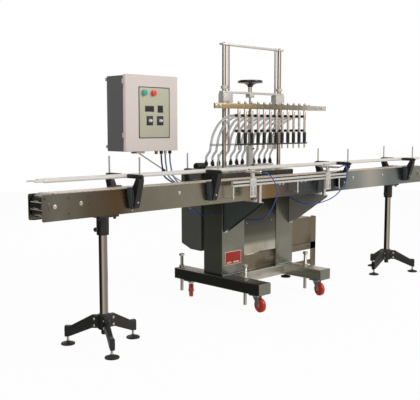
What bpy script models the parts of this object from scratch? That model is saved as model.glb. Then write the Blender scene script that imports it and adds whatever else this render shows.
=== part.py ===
"""Piston liquid filler: twelve nozzles over a slat-chain conveyor, on a castored stainless base.

X runs along the conveyor, Y from the operator's side to the rear, Z up from the floor.
Every size is in metres. Each named object is one separate solid of the machine.
"""
from math import cos, pi, radians, sin

import bmesh
import bpy
from mathutils import Matrix, Vector

# ---------------------------------------------------------------- driving dimensions
GAP = 0.0003               # between two pieces that touch
RUN_FIT = 0.00008          # radial clearance of a shaft that turns or slides in a hole

CONVEYOR_LENGTH = 4.0
CONVEYOR_WIDTH = 0.137     # over the two side plates
CONVEYOR_Y = -0.2215       # middle of the conveyor
CHAIN_TOP = 0.920          # surface that the bottles stand on
CHAIN_WIDTH = 0.1143
CHAIN_THICKNESS = 0.008
CHAIN_END_RADIUS = 0.068   # outer radius where the chain turns round
PLATE_TOP = 0.916
PLATE_HEIGHT = 0.143
PLATE_THICKNESS = 0.003
SHAFT_RADIUS = 0.0125
SPROCKET_WIDTH = 0.044

RAIL_LENGTH = 4.044        # bottle guide rails
RAIL_RADIUS = 0.010
RAIL_HEIGHT = 0.986
LANE_WIDTH = 0.056         # free width between the guide rails
STATIONS = (-1.404, -0.764, 0.676, 1.666)   # where brackets and spacers sit along X
BRACKET_DEPTH = 0.045
ROD_REACH = 0.073          # from a side plate to the brackets' vertical rods

TRIPOD_X = (-1.564, 1.516)
TRIPOD_SPREAD = 0.225
PAD_RADIUS = 0.0415

TUBE_X = (-0.328, 0.370)   # cross tubes of the base
TUBE_WIDTH = 0.122
TUBE_HEIGHT = 0.080
TUBE_FRONT = -0.390
TUBE_REAR = 0.470
BEAM_FRONT = -0.035
BEAM_REAR = 0.180
JACKS = ((-0.328, -0.205), (-0.340, 0.438), (0.384, -0.187), (0.384, 0.438))
JACK_RADIUS = 0.0125
JACK_TOP = 0.310
JACK_FOOT = 0.020

WHEEL_RADIUS = 0.050
WHEEL_WIDTH = 0.030
CASTER_TRAIL = 0.035
CASTER_RISE = 0.020         # from the top of a caster's wheel to the tubes
AXLE_RADIUS = 0.005
CASTERS = (                # swivel axis x, y and the heading of the wheel in degrees
    (-0.346, -0.330, 262),
    (0.348, -0.325, 255),
    (-0.346, 0.328, 225),
    (0.348, 0.328, 235),
)

SHEET = 0.003
CABINET_LEFT = -0.361
CABINET_RIGHT = 0.445
LEFT_COLUMN_WIDTH = 0.237
RIGHT_COLUMN_WIDTH = 0.203
CABINET_FRONT = -0.010
CABINET_REAR = 0.177
CABINET_TOP = 0.942
PANEL_BOTTOM = 0.330

GUSSET_X = (-0.322, 0.420)
GUSSET_WIDTH = 0.046
GUSSET_FRONT = -0.345
GUSSET_TOP = 0.757
GUSSET_BOTTOM = 0.516

PITCH = 0.066              # from one nozzle to the next
NOZZLES = 12
FIRST_NOZZLE_X = -0.417
NOZZLE_Y = -0.220
BAR_LEFT = -0.654
BAR_RIGHT = 0.564
BAR_BOTTOM = 1.392
BAR_TOP = 1.428
BAR_THICKNESS = 0.014

POST_X = (-0.244, 0.376)
POST_Y = 0.085
POST_RADIUS = 0.015
POST_TOP = 1.868
GUIDE_ROD_X = (-0.197, 0.328)
GUIDE_ROD_RADIUS = 0.008
GUIDE_ROD_BOTTOM = 1.095
CROSSBAR_HEIGHT = 1.523    # centre of the bar that ties the bearing blocks
BLOCK_BOTTOM = 1.427
LIFT_X = 0.036
LIFT_CYLINDER_RADIUS = 0.0285
LIFT_CYLINDER_TOP = 1.130
LIFT_ROD_RADIUS = 0.0125
LIFT_ROD_TOP = 1.392
SPINDLE_RADIUS = 0.008
WHEEL_HEIGHT = 1.606       # handwheel
HANDWHEEL_RADIUS = 0.095

HOUSING_LEFT = -0.364      # pump housing behind the cabinet
HOUSING_RIGHT = 0.460
HOUSING_FRONT = 0.210
HOUSING_REAR = 0.420
HOUSING_BOTTOM = 0.356
HOUSING_TOP = 0.930
PUMP_Y = 0.315
FIRST_PUMP_X = -0.315
PUMP_BORE_RADIUS = 0.0225
PUMP_WALL = 0.003
BANK_BOTTOM = 0.620
CROSSHEAD_BOTTOM = 0.455
DRIVE_Y = 0.247
FIRST_VALVE_X = -0.293
VALVE_Y = 0.221
VALVE_TOP = 1.026
HOSE_RADIUS = 0.0085       # of the clear product hoses
HOSE_PASS_X = (-0.364, -0.298, -0.217, -0.166, -0.100, -0.040,   # where they pass between the posts
               -0.012, 0.085, 0.145, 0.205, 0.260, 0.304)

BOX_LEFT = -1.166          # control box
BOX_RIGHT = -0.724
BOX_BOTTOM = 1.112
BOX_TOP = 1.603
BOX_FRONT = 0.085
BOX_REAR = 0.262
DOOR_DEPTH = 0.025
BOX_WALL = 0.002
GLAND_Y = 0.118            # the cables hang from here, in front of the brace
BUTTON_RADIUS = 0.019
BUTTONS = (("start_button", -1.018, 1.489), ("stop_button", -0.940, 1.489))
KNOBS = (("speed_knob", -0.970, 1.311), ("volume_knob", -0.881, 1.311))
KNOB_RADIUS = 0.010

SIDE_BOX_RIGHT = 0.781
SIDE_BOX_BOTTOM = 0.312
SIDE_BOX_TOP = 0.525
SIDE_BOX_FRONT = 0.060
SIDE_BOX_REAR = 0.170

FRONT_RAIL_Y = -0.347
FRONT_RAIL_LEFT = -0.617
FRONT_RAIL_RIGHT = 0.679
FRONT_RAIL_BOTTOM = 0.880
FRONT_RAIL_TOP = 0.915
GATES = (("left", -0.424, -0.430), ("right", 0.426, -0.440))   # x and the tail's y
GATE_NOSE = -0.300
GATE_PIN_RADIUS = 0.003

# ---------------------------------------------------------------- worked-out places
TUBE_BOTTOM = 2 * WHEEL_RADIUS + CASTER_RISE
TUBE_TOP = TUBE_BOTTOM + TUBE_HEIGHT
PLATE_BOTTOM = PLATE_TOP - PLATE_HEIGHT
PLATE_NEAR = CONVEYOR_Y - CONVEYOR_WIDTH / 2
PLATE_FAR = CONVEYOR_Y + CONVEYOR_WIDTH / 2
SPROCKET_X = CONVEYOR_LENGTH / 2 - CHAIN_END_RADIUS - 0.005
SPROCKET_Z = CHAIN_TOP - CHAIN_END_RADIUS
RAIL_OFFSET = LANE_WIDTH / 2 + RAIL_RADIUS
GATE_HEIGHT = RAIL_HEIGHT - RAIL_RADIUS - GATE_PIN_RADIUS - 0.001   # the pins pass under the rail
NOZZLE_X = [FIRST_NOZZLE_X + PITCH * i for i in range(NOZZLES)]
PUMP_X = [FIRST_PUMP_X + PITCH * i for i in range(NOZZLES)]
VALVE_X = [FIRST_VALVE_X + PITCH * i for i in range(NOZZLES)]
LEFT_COLUMN_RIGHT = CABINET_LEFT + LEFT_COLUMN_WIDTH
RIGHT_COLUMN_LEFT = CABINET_RIGHT - RIGHT_COLUMN_WIDTH

# ---------------------------------------------------------------- scene and materials
for old in list(bpy.data.objects):
    bpy.data.objects.remove(old, do_unlink=True)
machine = bpy.data.collections.new("piston_liquid_filler")
bpy.context.scene.collection.children.link(machine)


def material(name, colour, roughness, metallic):
    """A plain Principled surface."""
    made = bpy.data.materials.new(name)
    made.use_nodes = True
    shader = made.node_tree.nodes["Principled BSDF"]
    shader.inputs["Base Color"].default_value = (*colour, 1.0)
    shader.inputs["Roughness"].default_value = roughness
    shader.inputs["Metallic"].default_value = metallic
    return made


STEEL = ((0.42, 0.40, 0.36), 0.35, 1.0)
BRIGHT = ((0.62, 0.62, 0.62), 0.22, 1.0)
DARK_STEEL = ((0.10, 0.10, 0.09), 0.45, 0.8)
ALUMINIUM = ((0.75, 0.75, 0.74), 0.35, 1.0)
BLACK = ((0.012, 0.013, 0.015), 0.45, 0.0)
RED = ((0.50, 0.05, 0.02), 0.40, 0.0)
PLATE_RED = ((0.36, 0.01, 0.005), 0.40, 0.0)
GREEN = ((0.03, 0.38, 0.34), 0.35, 0.0)
BEIGE = ((0.70, 0.64, 0.60), 0.50, 0.0)
GREY = ((0.10, 0.10, 0.10), 0.55, 0.0)
WHITE = ((0.80, 0.80, 0.78), 0.40, 0.0)
SLAT = ((0.55, 0.48, 0.43), 0.50, 0.0)
BLUE = ((0.01, 0.05, 0.35), 0.35, 0.0)
CLEAR = ((0.70, 0.70, 0.70), 0.15, 0.0)


# ---------------------------------------------------------------- shapes
def from_bmesh(bm):
    """A loose object from a bmesh, ready to be joined or used as a cutter."""
    mesh = bpy.data.meshes.new("piece")
    bm.to_mesh(mesh)
    bm.free()
    piece = bpy.data.objects.new("piece", mesh)
    machine.objects.link(piece)
    return piece


def block(x, y, z):
    """A box between two corners, each of x, y and z being (low, high)."""
    size = Vector((x[1] - x[0], y[1] - y[0], z[1] - z[0]))
    centre = Vector((x[0] + x[1], y[0] + y[1], z[0] + z[1])) / 2
    bm = bmesh.new()
    matrix = Matrix.Translation(centre) @ Matrix.Diagonal((*size, 1))
    bmesh.ops.create_cube(bm, size=1, matrix=matrix)
    return from_bmesh(bm)


def rod(start, end, radius, segments=12, end_radius=None):
    """A round bar or cone from one point to another."""
    start, end = Vector(start), Vector(end)
    along = end - start
    turn = along.to_track_quat("Z", "Y").to_matrix().to_4x4()
    bm = bmesh.new()
    bmesh.ops.create_cone(
        bm, cap_ends=True, cap_tris=False, segments=segments, radius1=radius,
        radius2=radius if end_radius is None else end_radius, depth=along.length,
        matrix=Matrix.Translation((start + end) / 2) @ turn)
    return from_bmesh(bm)


def hole(start, end, radius, segments=12, clearance=GAP):
    """A cutter for a round bar of the same number of sides, that leaves it a clearance."""
    return rod(start, end, (radius + clearance) / cos(pi / segments), segments)


def baked(piece):
    """The same piece with its modifiers or its curve made into a plain mesh."""
    bpy.context.view_layer.update()
    graph = bpy.context.evaluated_depsgraph_get()
    mesh = bpy.data.meshes.new_from_object(piece.evaluated_get(graph))
    mesh.transform(piece.matrix_world)
    bm = bmesh.new()
    bm.from_mesh(mesh)
    bmesh.ops.remove_doubles(bm, verts=bm.verts, dist=0.00001)
    bmesh.ops.recalc_face_normals(bm, faces=bm.faces)
    bm.to_mesh(mesh)
    bm.free()
    mesh.materials.clear()
    made = bpy.data.objects.new("piece", mesh)
    machine.objects.link(made)
    bpy.data.objects.remove(piece, do_unlink=True)
    return made


def tube(points, radius, resolution=2):
    """A round tube along a line of points."""
    curve = bpy.data.curves.new("route", "CURVE")
    curve.dimensions = "3D"
    curve.bevel_depth = radius
    curve.bevel_resolution = resolution
    curve.use_fill_caps = True
    spline = curve.splines.new("POLY")
    spline.points.add(len(points) - 1)
    for slot, point in zip(spline.points, points):
        slot.co = (*point, 1)
    piece = bpy.data.objects.new("route", curve)
    machine.objects.link(piece)
    return baked(piece)


def outline_plate(outline, thickness, matrix):
    """A flat outline in XY, extruded about its own plane, then placed by a matrix."""
    curve = bpy.data.curves.new("outline", "CURVE")
    curve.dimensions = "2D"
    curve.fill_mode = "BOTH"
    curve.extrude = thickness / 2
    spline = curve.splines.new("POLY")
    spline.points.add(len(outline) - 1)
    for slot, (u, v) in zip(spline.points, outline):
        slot.co = (u, v, 0, 1)
    spline.use_cyclic_u = True
    piece = bpy.data.objects.new("outline", curve)
    piece.matrix_world = matrix
    machine.objects.link(piece)
    return baked(piece)


def across_x(outline, low, high):
    """An outline of (y, z) points, extruded along X between two places."""
    matrix = Matrix(((0, 0, 1, (low + high) / 2), (1, 0, 0, 0), (0, 1, 0, 0), (0, 0, 0, 1)))
    return outline_plate(outline, high - low, matrix)


def across_y(outline, low, high):
    """An outline of (x, z) points, extruded along Y between two places."""
    matrix = Matrix(((1, 0, 0, 0), (0, 0, -1, (low + high) / 2), (0, 1, 0, 0), (0, 0, 0, 1)))
    return outline_plate(outline, high - low, matrix)


def turned(profile, matrix, segments=16):
    """A solid of revolution about Z. Its profile runs down the outer side, top to bottom."""
    mesh = bpy.data.meshes.new("profile")
    bm = bmesh.new()
    line = [bm.verts.new((radius, 0, height)) for radius, height in profile]
    for one, other in zip(line, line[1:]):
        bm.edges.new((one, other))
    bm.to_mesh(mesh)
    bm.free()
    piece = bpy.data.objects.new("profile", mesh)
    piece.matrix_world = matrix
    machine.objects.link(piece)
    screw = piece.modifiers.new("turn", "SCREW")
    screw.steps = segments
    screw.render_steps = segments
    screw.use_merge_vertices = True
    screw.merge_threshold = 0.00001
    return baked(piece)


def joined(pieces, cutters=()):
    """The pieces joined into one solid, and the cutters taken out of it."""
    body = pieces[0]
    steps = [(other, "UNION") for other in pieces[1:]] + [(other, "DIFFERENCE") for other in cutters]
    for other, operation in steps:
        boolean = body.modifiers.new(operation.lower(), "BOOLEAN")
        boolean.operation = operation
        boolean.solver = "EXACT"
        boolean.object = other
    if steps:
        body = baked(body)
        for other, _ in steps:
            bpy.data.objects.remove(other, do_unlink=True)
    return body


def node(name, look, pieces, cutters=(), origin=(0, 0, 0)):
    """One solid of the machine, joined and cut, with its material and its origin."""
    body = joined(pieces, cutters)
    body.data.transform(Matrix.Translation(-Vector(origin)))
    body.location = origin
    body.name = name
    body.data.name = name
    body.data.shade_smooth()
    body.data.set_sharp_from_angle(angle=radians(35))
    body.data.materials.append(material(name, *look))
    return body


# ---------------------------------------------------------------- base
def make_base():
    """Two cross tubes on a centre beam, with caster plates, jack bolts, a foot and a skirt."""
    pieces = []
    cutters = []
    for x in TUBE_X:
        pieces.append(block((x - TUBE_WIDTH / 2, x + TUBE_WIDTH / 2),
                            (TUBE_FRONT, TUBE_REAR), (TUBE_BOTTOM, TUBE_TOP)))
        # The tube's bore stops short of the near end, which is capped.
        cutters.append(block((x - TUBE_WIDTH / 2 + 0.004, x + TUBE_WIDTH / 2 - 0.004),
                             (TUBE_FRONT + 0.004, TUBE_REAR + 0.01),
                             (TUBE_BOTTOM + 0.004, TUBE_TOP - 0.004)))
    pieces.append(block((TUBE_X[0], TUBE_X[1]), (BEAM_FRONT, BEAM_REAR), (TUBE_BOTTOM + 0.001, TUBE_TOP - 0.001)))
    cutters.append(block((TUBE_X[0], TUBE_X[1]), (BEAM_FRONT + 0.004, BEAM_REAR - 0.004),
                         (TUBE_BOTTOM + 0.005, TUBE_TOP - 0.005)))
    # Skirt that closes the space under the front panel.
    pieces.append(block((LEFT_COLUMN_RIGHT + 0.002, RIGHT_COLUMN_LEFT - 0.002),
                        (CABINET_FRONT + 0.004, CABINET_FRONT + 0.007),
                        (TUBE_TOP - 0.003, PANEL_BOTTOM - GAP)))
    frame = joined(pieces, cutters)

    # Solid pieces that pass through the tube walls are joined after the bores are cut.
    pieces = [frame]
    for x, y in JACKS:
        pieces.append(rod((x, y, JACK_FOOT), (x, y, JACK_TOP - 0.01), JACK_RADIUS, 10))
        pieces.append(rod((x, y, JACK_TOP - 0.016), (x, y, JACK_TOP), 0.0208, 6))
        pieces.append(rod((x, y, TUBE_TOP - 0.002), (x, y, TUBE_TOP + 0.020), 0.0208, 6))
        pieces.append(rod((x, y, TUBE_BOTTOM - 0.010), (x, y, TUBE_BOTTOM + 0.002), 0.0190, 10))
    for x, y, _ in CASTERS:
        pieces.append(block((x - 0.042, x + 0.042), (y - 0.042, y + 0.042),
                            (TUBE_BOTTOM - 0.006, TUBE_BOTTOM + 0.002)))
    foot_x, foot_y = TUBE_X[1], -0.007
    pieces.append(rod((foot_x, foot_y, 0.094), (foot_x, foot_y, TUBE_BOTTOM + 0.002), 0.008, 8))
    pieces.append(turned([(0, 0.104), (0.012, 0.104), (0.039, 0.094), (0.039, 0.084), (0, 0.084)],
                         Matrix.Translation((foot_x, foot_y, 0))))
    cutters = [hole((x, y, TUBE_BOTTOM - 0.02), (x, y, TUBE_BOTTOM + 0.008), 0.006, 12, RUN_FIT)
               for x, y, _ in CASTERS]
    node("base_frame", STEEL, pieces, cutters)


def make_caster(number, x, y, heading):
    """A swivel fork on its kingpin, and a wheel on the fork's axle."""
    turn = Matrix.Translation((x, y, 0)) @ Matrix.Rotation(radians(heading), 4, "Z")
    inside = WHEEL_WIDTH / 2 + 0.0015
    crown_low = 2 * WHEEL_RADIUS + 0.003
    crown_high = TUBE_BOTTOM - 0.006 - GAP
    leg = [(-0.022, crown_high - 0.002), (CASTER_TRAIL - 0.013, WHEEL_RADIUS + 0.004),
           (CASTER_TRAIL - 0.010, WHEEL_RADIUS - 0.010), (CASTER_TRAIL + 0.010, WHEEL_RADIUS - 0.010),
           (CASTER_TRAIL + 0.014, WHEEL_RADIUS + 0.004), (0.030, crown_high - 0.002)]
    pieces = [block((-0.028, 0.034), (-inside - 0.0028, inside + 0.0028), (crown_low, crown_high))]
    for side in (-1, 1):
        pieces.append(across_y(leg, side * (inside + 0.0015) - 0.0013, side * (inside + 0.0015) + 0.0013))
    pieces.append(rod((CASTER_TRAIL, -inside - 0.008, WHEEL_RADIUS),
                      (CASTER_TRAIL, inside + 0.008, WHEEL_RADIUS), AXLE_RADIUS, 12))
    pieces.append(rod((0, 0, crown_high - 0.002), (0, 0, TUBE_BOTTOM + 0.001), 0.006))
    for piece in pieces:
        piece.data.transform(turn)
    node(f"caster_fork_{number}", BRIGHT, pieces, origin=(x, y, crown_high))
    centre = turn @ Vector((CASTER_TRAIL, 0, WHEEL_RADIUS))
    half = WHEEL_WIDTH / 2
    bore = (AXLE_RADIUS + 0.0002) / cos(pi / 20)
    profile = [(bore, half), (WHEEL_RADIUS - 0.004, half), (WHEEL_RADIUS, half - 0.006),
               (WHEEL_RADIUS, -half + 0.006), (WHEEL_RADIUS - 0.004, -half), (bore, -half), (bore, half)]
    place = Matrix.Translation(centre) @ Matrix.Rotation(radians(heading), 4, "Z")
    place = place @ Matrix.Rotation(radians(-90), 4, "X")
    node(f"caster_wheel_{number}", RED, [turned(profile, place, 20)], origin=centre)


# ---------------------------------------------------------------- cabinet
def make_cabinet():
    """Two welded columns with a panel and deck between them, the gussets and the box arm."""
    deep = (CABINET_FRONT, CABINET_REAR)
    inner = (CABINET_FRONT + SHEET, CABINET_REAR - SHEET)
    bottom = TUBE_TOP + GAP
    roof = CABINET_TOP - 0.008
    pieces = [
        block((CABINET_LEFT, LEFT_COLUMN_RIGHT), deep, (bottom, CABINET_TOP)),
        block((RIGHT_COLUMN_LEFT, CABINET_RIGHT), deep, (bottom, CABINET_TOP)),
        block((LEFT_COLUMN_RIGHT - 0.001, RIGHT_COLUMN_LEFT + 0.001), deep, (PANEL_BOTTOM, CABINET_TOP)),
    ]
    cutters = [
        block((CABINET_LEFT + SHEET, LEFT_COLUMN_RIGHT - SHEET), inner, (bottom - 0.01, roof)),
        block((RIGHT_COLUMN_LEFT + SHEET, CABINET_RIGHT - SHEET), inner, (bottom - 0.01, roof)),
        block((LEFT_COLUMN_RIGHT, RIGHT_COLUMN_LEFT), inner, (PANEL_BOTTOM - 0.01, roof)),
        hole((LIFT_X, POST_Y, roof - 0.01), (LIFT_X, POST_Y, CABINET_TOP + 0.01),
             LIFT_CYLINDER_RADIUS, 16),
    ]
    slope = [(CABINET_FRONT + 0.001, GUSSET_BOTTOM), (CABINET_FRONT + 0.001, GUSSET_TOP),
             (GUSSET_FRONT, GUSSET_TOP), (GUSSET_FRONT, GUSSET_TOP - 0.014)]
    pad = (CONVEYOR_Y - CONVEYOR_WIDTH / 2, CONVEYOR_Y + CONVEYOR_WIDTH / 2)
    for x in GUSSET_X:
        half = GUSSET_WIDTH / 2
        pieces.append(across_x(slope, x - half, x - half + 0.004))
        pieces.append(across_x(slope, x + half - 0.004, x + half))
        pieces.append(block((x - half, x + half), (GUSSET_FRONT, CABINET_FRONT + 0.001),
                            (GUSSET_TOP - 0.004, GUSSET_TOP)))
        pieces.append(block((x - half + 0.002, x + half - 0.002), pad,
                            (GUSSET_TOP - 0.001, PLATE_BOTTOM - GAP)))
    pieces.append(rod((-0.984, 0.165, BOX_BOTTOM - 0.012), (CABINET_LEFT + 0.002, 0.105, 0.735), 0.0050, 8))
    pieces.append(block((-1.019, -0.949), (0.135, 0.195), (BOX_BOTTOM - 0.016, BOX_BOTTOM - GAP)))
    pieces.append(rod((CABINET_LEFT - 0.012, 0.105, 0.741), (CABINET_LEFT + 0.001, 0.105, 0.741), 0.028))
    node("cabinet", STEEL, pieces, cutters)


def make_name_plate():
    """A thin plate with a raised border on the left column."""
    x, z = (-0.334, -0.161), (0.272, 0.372)
    y = CABINET_FRONT - GAP
    pieces = [block(x, (y - 0.0022, y), z)]
    cutters = [block((x[0] + 0.005, x[1] - 0.005), (y - 0.01, y - 0.0012), (z[0] + 0.005, z[1] - 0.005))]
    node("name_plate", PLATE_RED, pieces, cutters)


def make_side_box():
    """The air preparation box beside the right column, on an angle frame with a leg."""
    left = CABINET_RIGHT + GAP
    z = (SIDE_BOX_BOTTOM, SIDE_BOX_TOP)
    y = (SIDE_BOX_FRONT, SIDE_BOX_REAR)
    pieces = [
        block((left, SIDE_BOX_RIGHT), y, z),
        block((left, SIDE_BOX_RIGHT + 0.070), (y[0] + 0.002, y[0] + 0.052), (0.252, SIDE_BOX_BOTTOM + 0.001)),
        block((SIDE_BOX_RIGHT, SIDE_BOX_RIGHT + 0.070), (y[0] + 0.002, y[0] + 0.052), (0.100, SIDE_BOX_TOP)),
        block((TUBE_X[1] + TUBE_WIDTH / 2 + GAP, SIDE_BOX_RIGHT + 0.010), (y[0] + 0.002, y[0] + 0.042),
              (0.124, 0.164)),
    ]
    cutters = [block((left + SHEET, SIDE_BOX_RIGHT - SHEET), (y[0] + SHEET, y[1] + 0.01),
                     (z[0] + SHEET, z[1] - SHEET)),
               block((SIDE_BOX_RIGHT + 0.006, SIDE_BOX_RIGHT + 0.08), (y[0] + 0.008, y[0] + 0.06),
                     (0.09, SIDE_BOX_TOP + 0.01))]
    node("side_box", STEEL, pieces, cutters)


# ---------------------------------------------------------------- pump
def make_pump():
    """Housing, twelve cylinders with their drive cylinder, and the piston crosshead."""
    outer = [(HOUSING_FRONT, HOUSING_TOP), (HOUSING_FRONT, HOUSING_BOTTOM), (0.320, HOUSING_BOTTOM + 0.003),
             (HOUSING_REAR - 0.002, HOUSING_BOTTOM + 0.040), (HOUSING_REAR, HOUSING_TOP)]
    inner = [(HOUSING_FRONT + SHEET, HOUSING_TOP + 0.01), (HOUSING_FRONT + SHEET, HOUSING_BOTTOM + SHEET),
             (0.320, HOUSING_BOTTOM + 0.006), (HOUSING_REAR - 0.005, HOUSING_BOTTOM + 0.042),
             (HOUSING_REAR - SHEET, HOUSING_TOP + 0.01)]
    pieces = [across_x(outer, HOUSING_LEFT, HOUSING_RIGHT)]
    cutters = [across_x(inner, HOUSING_LEFT + SHEET, HOUSING_RIGHT - SHEET)]
    for x in (LEFT_COLUMN_RIGHT - 0.06, RIGHT_COLUMN_LEFT + 0.06):
        for z in (0.450, 0.850):
            pieces.append(block((x - 0.03, x + 0.03), (CABINET_REAR + GAP, HOUSING_FRONT + 0.001),
                                (z - 0.03, z + 0.03)))
    node("pump_housing", STEEL, pieces, cutters)

    left, right = HOUSING_LEFT + SHEET + GAP, HOUSING_RIGHT - SHEET - GAP
    pieces = [block((left, right), (HOUSING_FRONT + SHEET + GAP, HOUSING_REAR - SHEET - 0.002),
                    (BANK_BOTTOM, BANK_BOTTOM + 0.012))]
    cutters = []
    for x in PUMP_X:
        pieces.append(rod((x, PUMP_Y, BANK_BOTTOM + 0.006), (x, PUMP_Y, HOUSING_TOP - GAP),
                          PUMP_BORE_RADIUS + PUMP_WALL, 8))
        cutters.append(rod((x, PUMP_Y, BANK_BOTTOM - 0.01), (x, PUMP_Y, HOUSING_TOP + 0.01),
                           PUMP_BORE_RADIUS, 8))
    pieces.append(rod((LIFT_X, DRIVE_Y, BANK_BOTTOM + 0.006), (LIFT_X, DRIVE_Y, 0.850), 0.025))
    cutters.append(hole((LIFT_X, DRIVE_Y, BANK_BOTTOM - 0.01), (LIFT_X, DRIVE_Y, 0.836), 0.008, 8))
    node("cylinder_bank", BRIGHT, pieces, cutters)

    high = CROSSHEAD_BOTTOM + 0.020
    pieces = [block((PUMP_X[0] - 0.018, PUMP_X[-1] + 0.018), (PUMP_Y - 0.016, PUMP_Y + 0.016),
                    (CROSSHEAD_BOTTOM, high)),
              block((LIFT_X - 0.02, LIFT_X + 0.02), (DRIVE_Y - 0.014, PUMP_Y), (CROSSHEAD_BOTTOM, high)),
              rod((LIFT_X, DRIVE_Y, high - 0.002), (LIFT_X, DRIVE_Y, 0.700), 0.008, 8)]
    for x in PUMP_X:
        pieces.append(rod((x, PUMP_Y, high - 0.002), (x, PUMP_Y, 0.662), 0.006, 6))
        pieces.append(rod((x, PUMP_Y, 0.660), (x, PUMP_Y, 0.688), PUMP_BORE_RADIUS - GAP, 8))
    node("piston_crosshead", BRIGHT, pieces, origin=(LIFT_X, DRIVE_Y, CROSSHEAD_BOTTOM))

    low = HOUSING_TOP + GAP
    pieces = [block((HOUSING_LEFT, HOUSING_RIGHT), (VALVE_Y - 0.040, PUMP_Y + 0.050), (low, low + 0.008)),
              block((VALVE_X[0] - 0.030, VALVE_X[-1] + 0.024), (VALVE_Y - 0.020, VALVE_Y + 0.020),
                    (low, low + 0.050)),
              rod((HOUSING_LEFT - 0.036, VALVE_Y, 0.983), (VALVE_X[0] - 0.026, VALVE_Y, 0.983), 0.027),
              block((VALVE_X[0] - 0.050, VALVE_X[0] - 0.026), (VALVE_Y - 0.012, VALVE_Y + 0.012),
                    (low, 0.983))]
    for x in VALVE_X:
        pieces.append(rod((x, VALVE_Y, low + 0.046), (x, VALVE_Y, 0.991), 0.010, 8))
        pieces.append(rod((x, VALVE_Y, 0.989), (x, VALVE_Y, 1.014), 0.0150, 8, 0.0130))
        pieces.append(rod((x, VALVE_Y, 1.012), (x, VALVE_Y, VALVE_TOP), 0.0085, 6))
    node("valve_manifold", DARK_STEEL, pieces)


# ---------------------------------------------------------------- lift and filling head
def make_lift():
    """Posts with their tie bar, guide rods and stop collars, and the lift cylinder with its rod."""
    foot = CABINET_TOP + GAP
    tie = (POST_TOP - 0.014, POST_TOP)
    pieces = [block((POST_X[0] - 0.032, POST_X[1] + 0.032), (POST_Y - 0.020, POST_Y + 0.020), tie)]
    for x, rod_x in zip(POST_X, GUIDE_ROD_X):
        pieces.append(rod((x, POST_Y, foot), (x, POST_Y, tie[1] - 0.002), POST_RADIUS))
        pieces.append(rod((x, POST_Y, foot), (x, POST_Y, foot + 0.022), 0.029))
        pieces.append(rod((x, POST_Y, 1.545), (x, POST_Y, 1.567), 0.026))
        pieces.append(rod((x, POST_Y, tie[1] - 0.002), (x, POST_Y, tie[1] + 0.009), 0.011, 6))
        pieces.append(rod((rod_x, POST_Y, GUIDE_ROD_BOTTOM), (rod_x, POST_Y, tie[1] - 0.002),
                          GUIDE_ROD_RADIUS, 10))
    node("lift_gantry", BRIGHT, pieces)

    pieces = [rod((LIFT_X, POST_Y, 0.620), (LIFT_X, POST_Y, LIFT_CYLINDER_TOP), LIFT_CYLINDER_RADIUS, 16),
              block((LIFT_X - 0.040, LIFT_X + 0.040), (POST_Y - 0.040, POST_Y + 0.040), (foot, foot + 0.012))]
    cutters = [hole((LIFT_X, POST_Y, 0.630), (LIFT_X, POST_Y, LIFT_CYLINDER_TOP + 0.01), LIFT_ROD_RADIUS)]
    node("lift_cylinder", ALUMINIUM, pieces, cutters)

    pieces = [rod((LIFT_X, POST_Y, 0.800), (LIFT_X, POST_Y, LIFT_ROD_TOP), LIFT_ROD_RADIUS)]
    cutters = [hole((LIFT_X, POST_Y, LIFT_ROD_TOP - 0.170), (LIFT_X, POST_Y, LIFT_ROD_TOP + 0.01),
                    SPINDLE_RADIUS, 20, 0.0002)]
    node("lift_rod", BRIGHT, pieces, cutters, origin=(LIFT_X, POST_Y, LIFT_ROD_TOP))


def make_crosshead():
    """The bar and bearing blocks that slide on the posts, with the nut block and bar arms."""
    bar = (CROSSBAR_HEIGHT - 0.010, CROSSBAR_HEIGHT + 0.006)
    blocks = ((POST_X[0] - 0.034, GUIDE_ROD_X[0] + 0.018), (GUIDE_ROD_X[1] - 0.018, POST_X[1] + 0.034))
    pieces = [block((blocks[0][0], blocks[1][1]), (POST_Y - 0.019, POST_Y + 0.019), bar),
              block((LIFT_X - 0.024, LIFT_X + 0.024), (POST_Y - 0.023, POST_Y + 0.023), (1.488, bar[0] + 0.002))]
    cutters = [hole((LIFT_X, POST_Y, 1.47), (LIFT_X, POST_Y, 1.55), SPINDLE_RADIUS, 20, 0.0002)]
    for x, post_x, rod_x in zip(blocks, POST_X, GUIDE_ROD_X):
        pieces.append(block(x, (POST_Y - 0.027, POST_Y + 0.027), (BLOCK_BOTTOM, bar[0] + 0.002)))
        arm = (post_x - 0.012, post_x + 0.012)
        pieces.append(block(arm, (NOZZLE_Y + BAR_THICKNESS / 2 + GAP, POST_Y - 0.025),
                            (BLOCK_BOTTOM - 0.022, BLOCK_BOTTOM + 0.004)))
        pieces.append(block(arm, (POST_Y - 0.029, POST_Y - 0.021), (BLOCK_BOTTOM - 0.022, BLOCK_BOTTOM + 0.03)))
        low, high = BLOCK_BOTTOM - 0.03, bar[1] + 0.01
        cutters.append(hole((post_x, POST_Y, low), (post_x, POST_Y, high), POST_RADIUS))
        cutters.append(hole((rod_x, POST_Y, low), (rod_x, POST_Y, high), GUIDE_ROD_RADIUS, 10))
    node("crosshead", ALUMINIUM, pieces, cutters)


def make_handwheel():
    """A dished handwheel with its hub and the spindle that turns in the lift rod."""
    seat = CROSSBAR_HEIGHT + 0.006 + GAP
    z = WHEEL_HEIGHT
    r = HANDWHEEL_RADIUS
    profile = [(0, z + 0.004), (0.060, z + 0.004), (r - 0.016, z + 0.011), (r - 0.004, z + 0.010), (r, z),
               (r - 0.004, z - 0.009), (r - 0.018, z - 0.010), (0.030, z - 0.022), (0.018, z - 0.040),
               (0.014, seat), (SPINDLE_RADIUS, seat), (SPINDLE_RADIUS, 1.290), (0, 1.290)]
    node("handwheel", BLACK, [turned(profile, Matrix.Translation((LIFT_X, POST_Y, 0)), 20)],
         origin=(LIFT_X, POST_Y, z))


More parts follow.
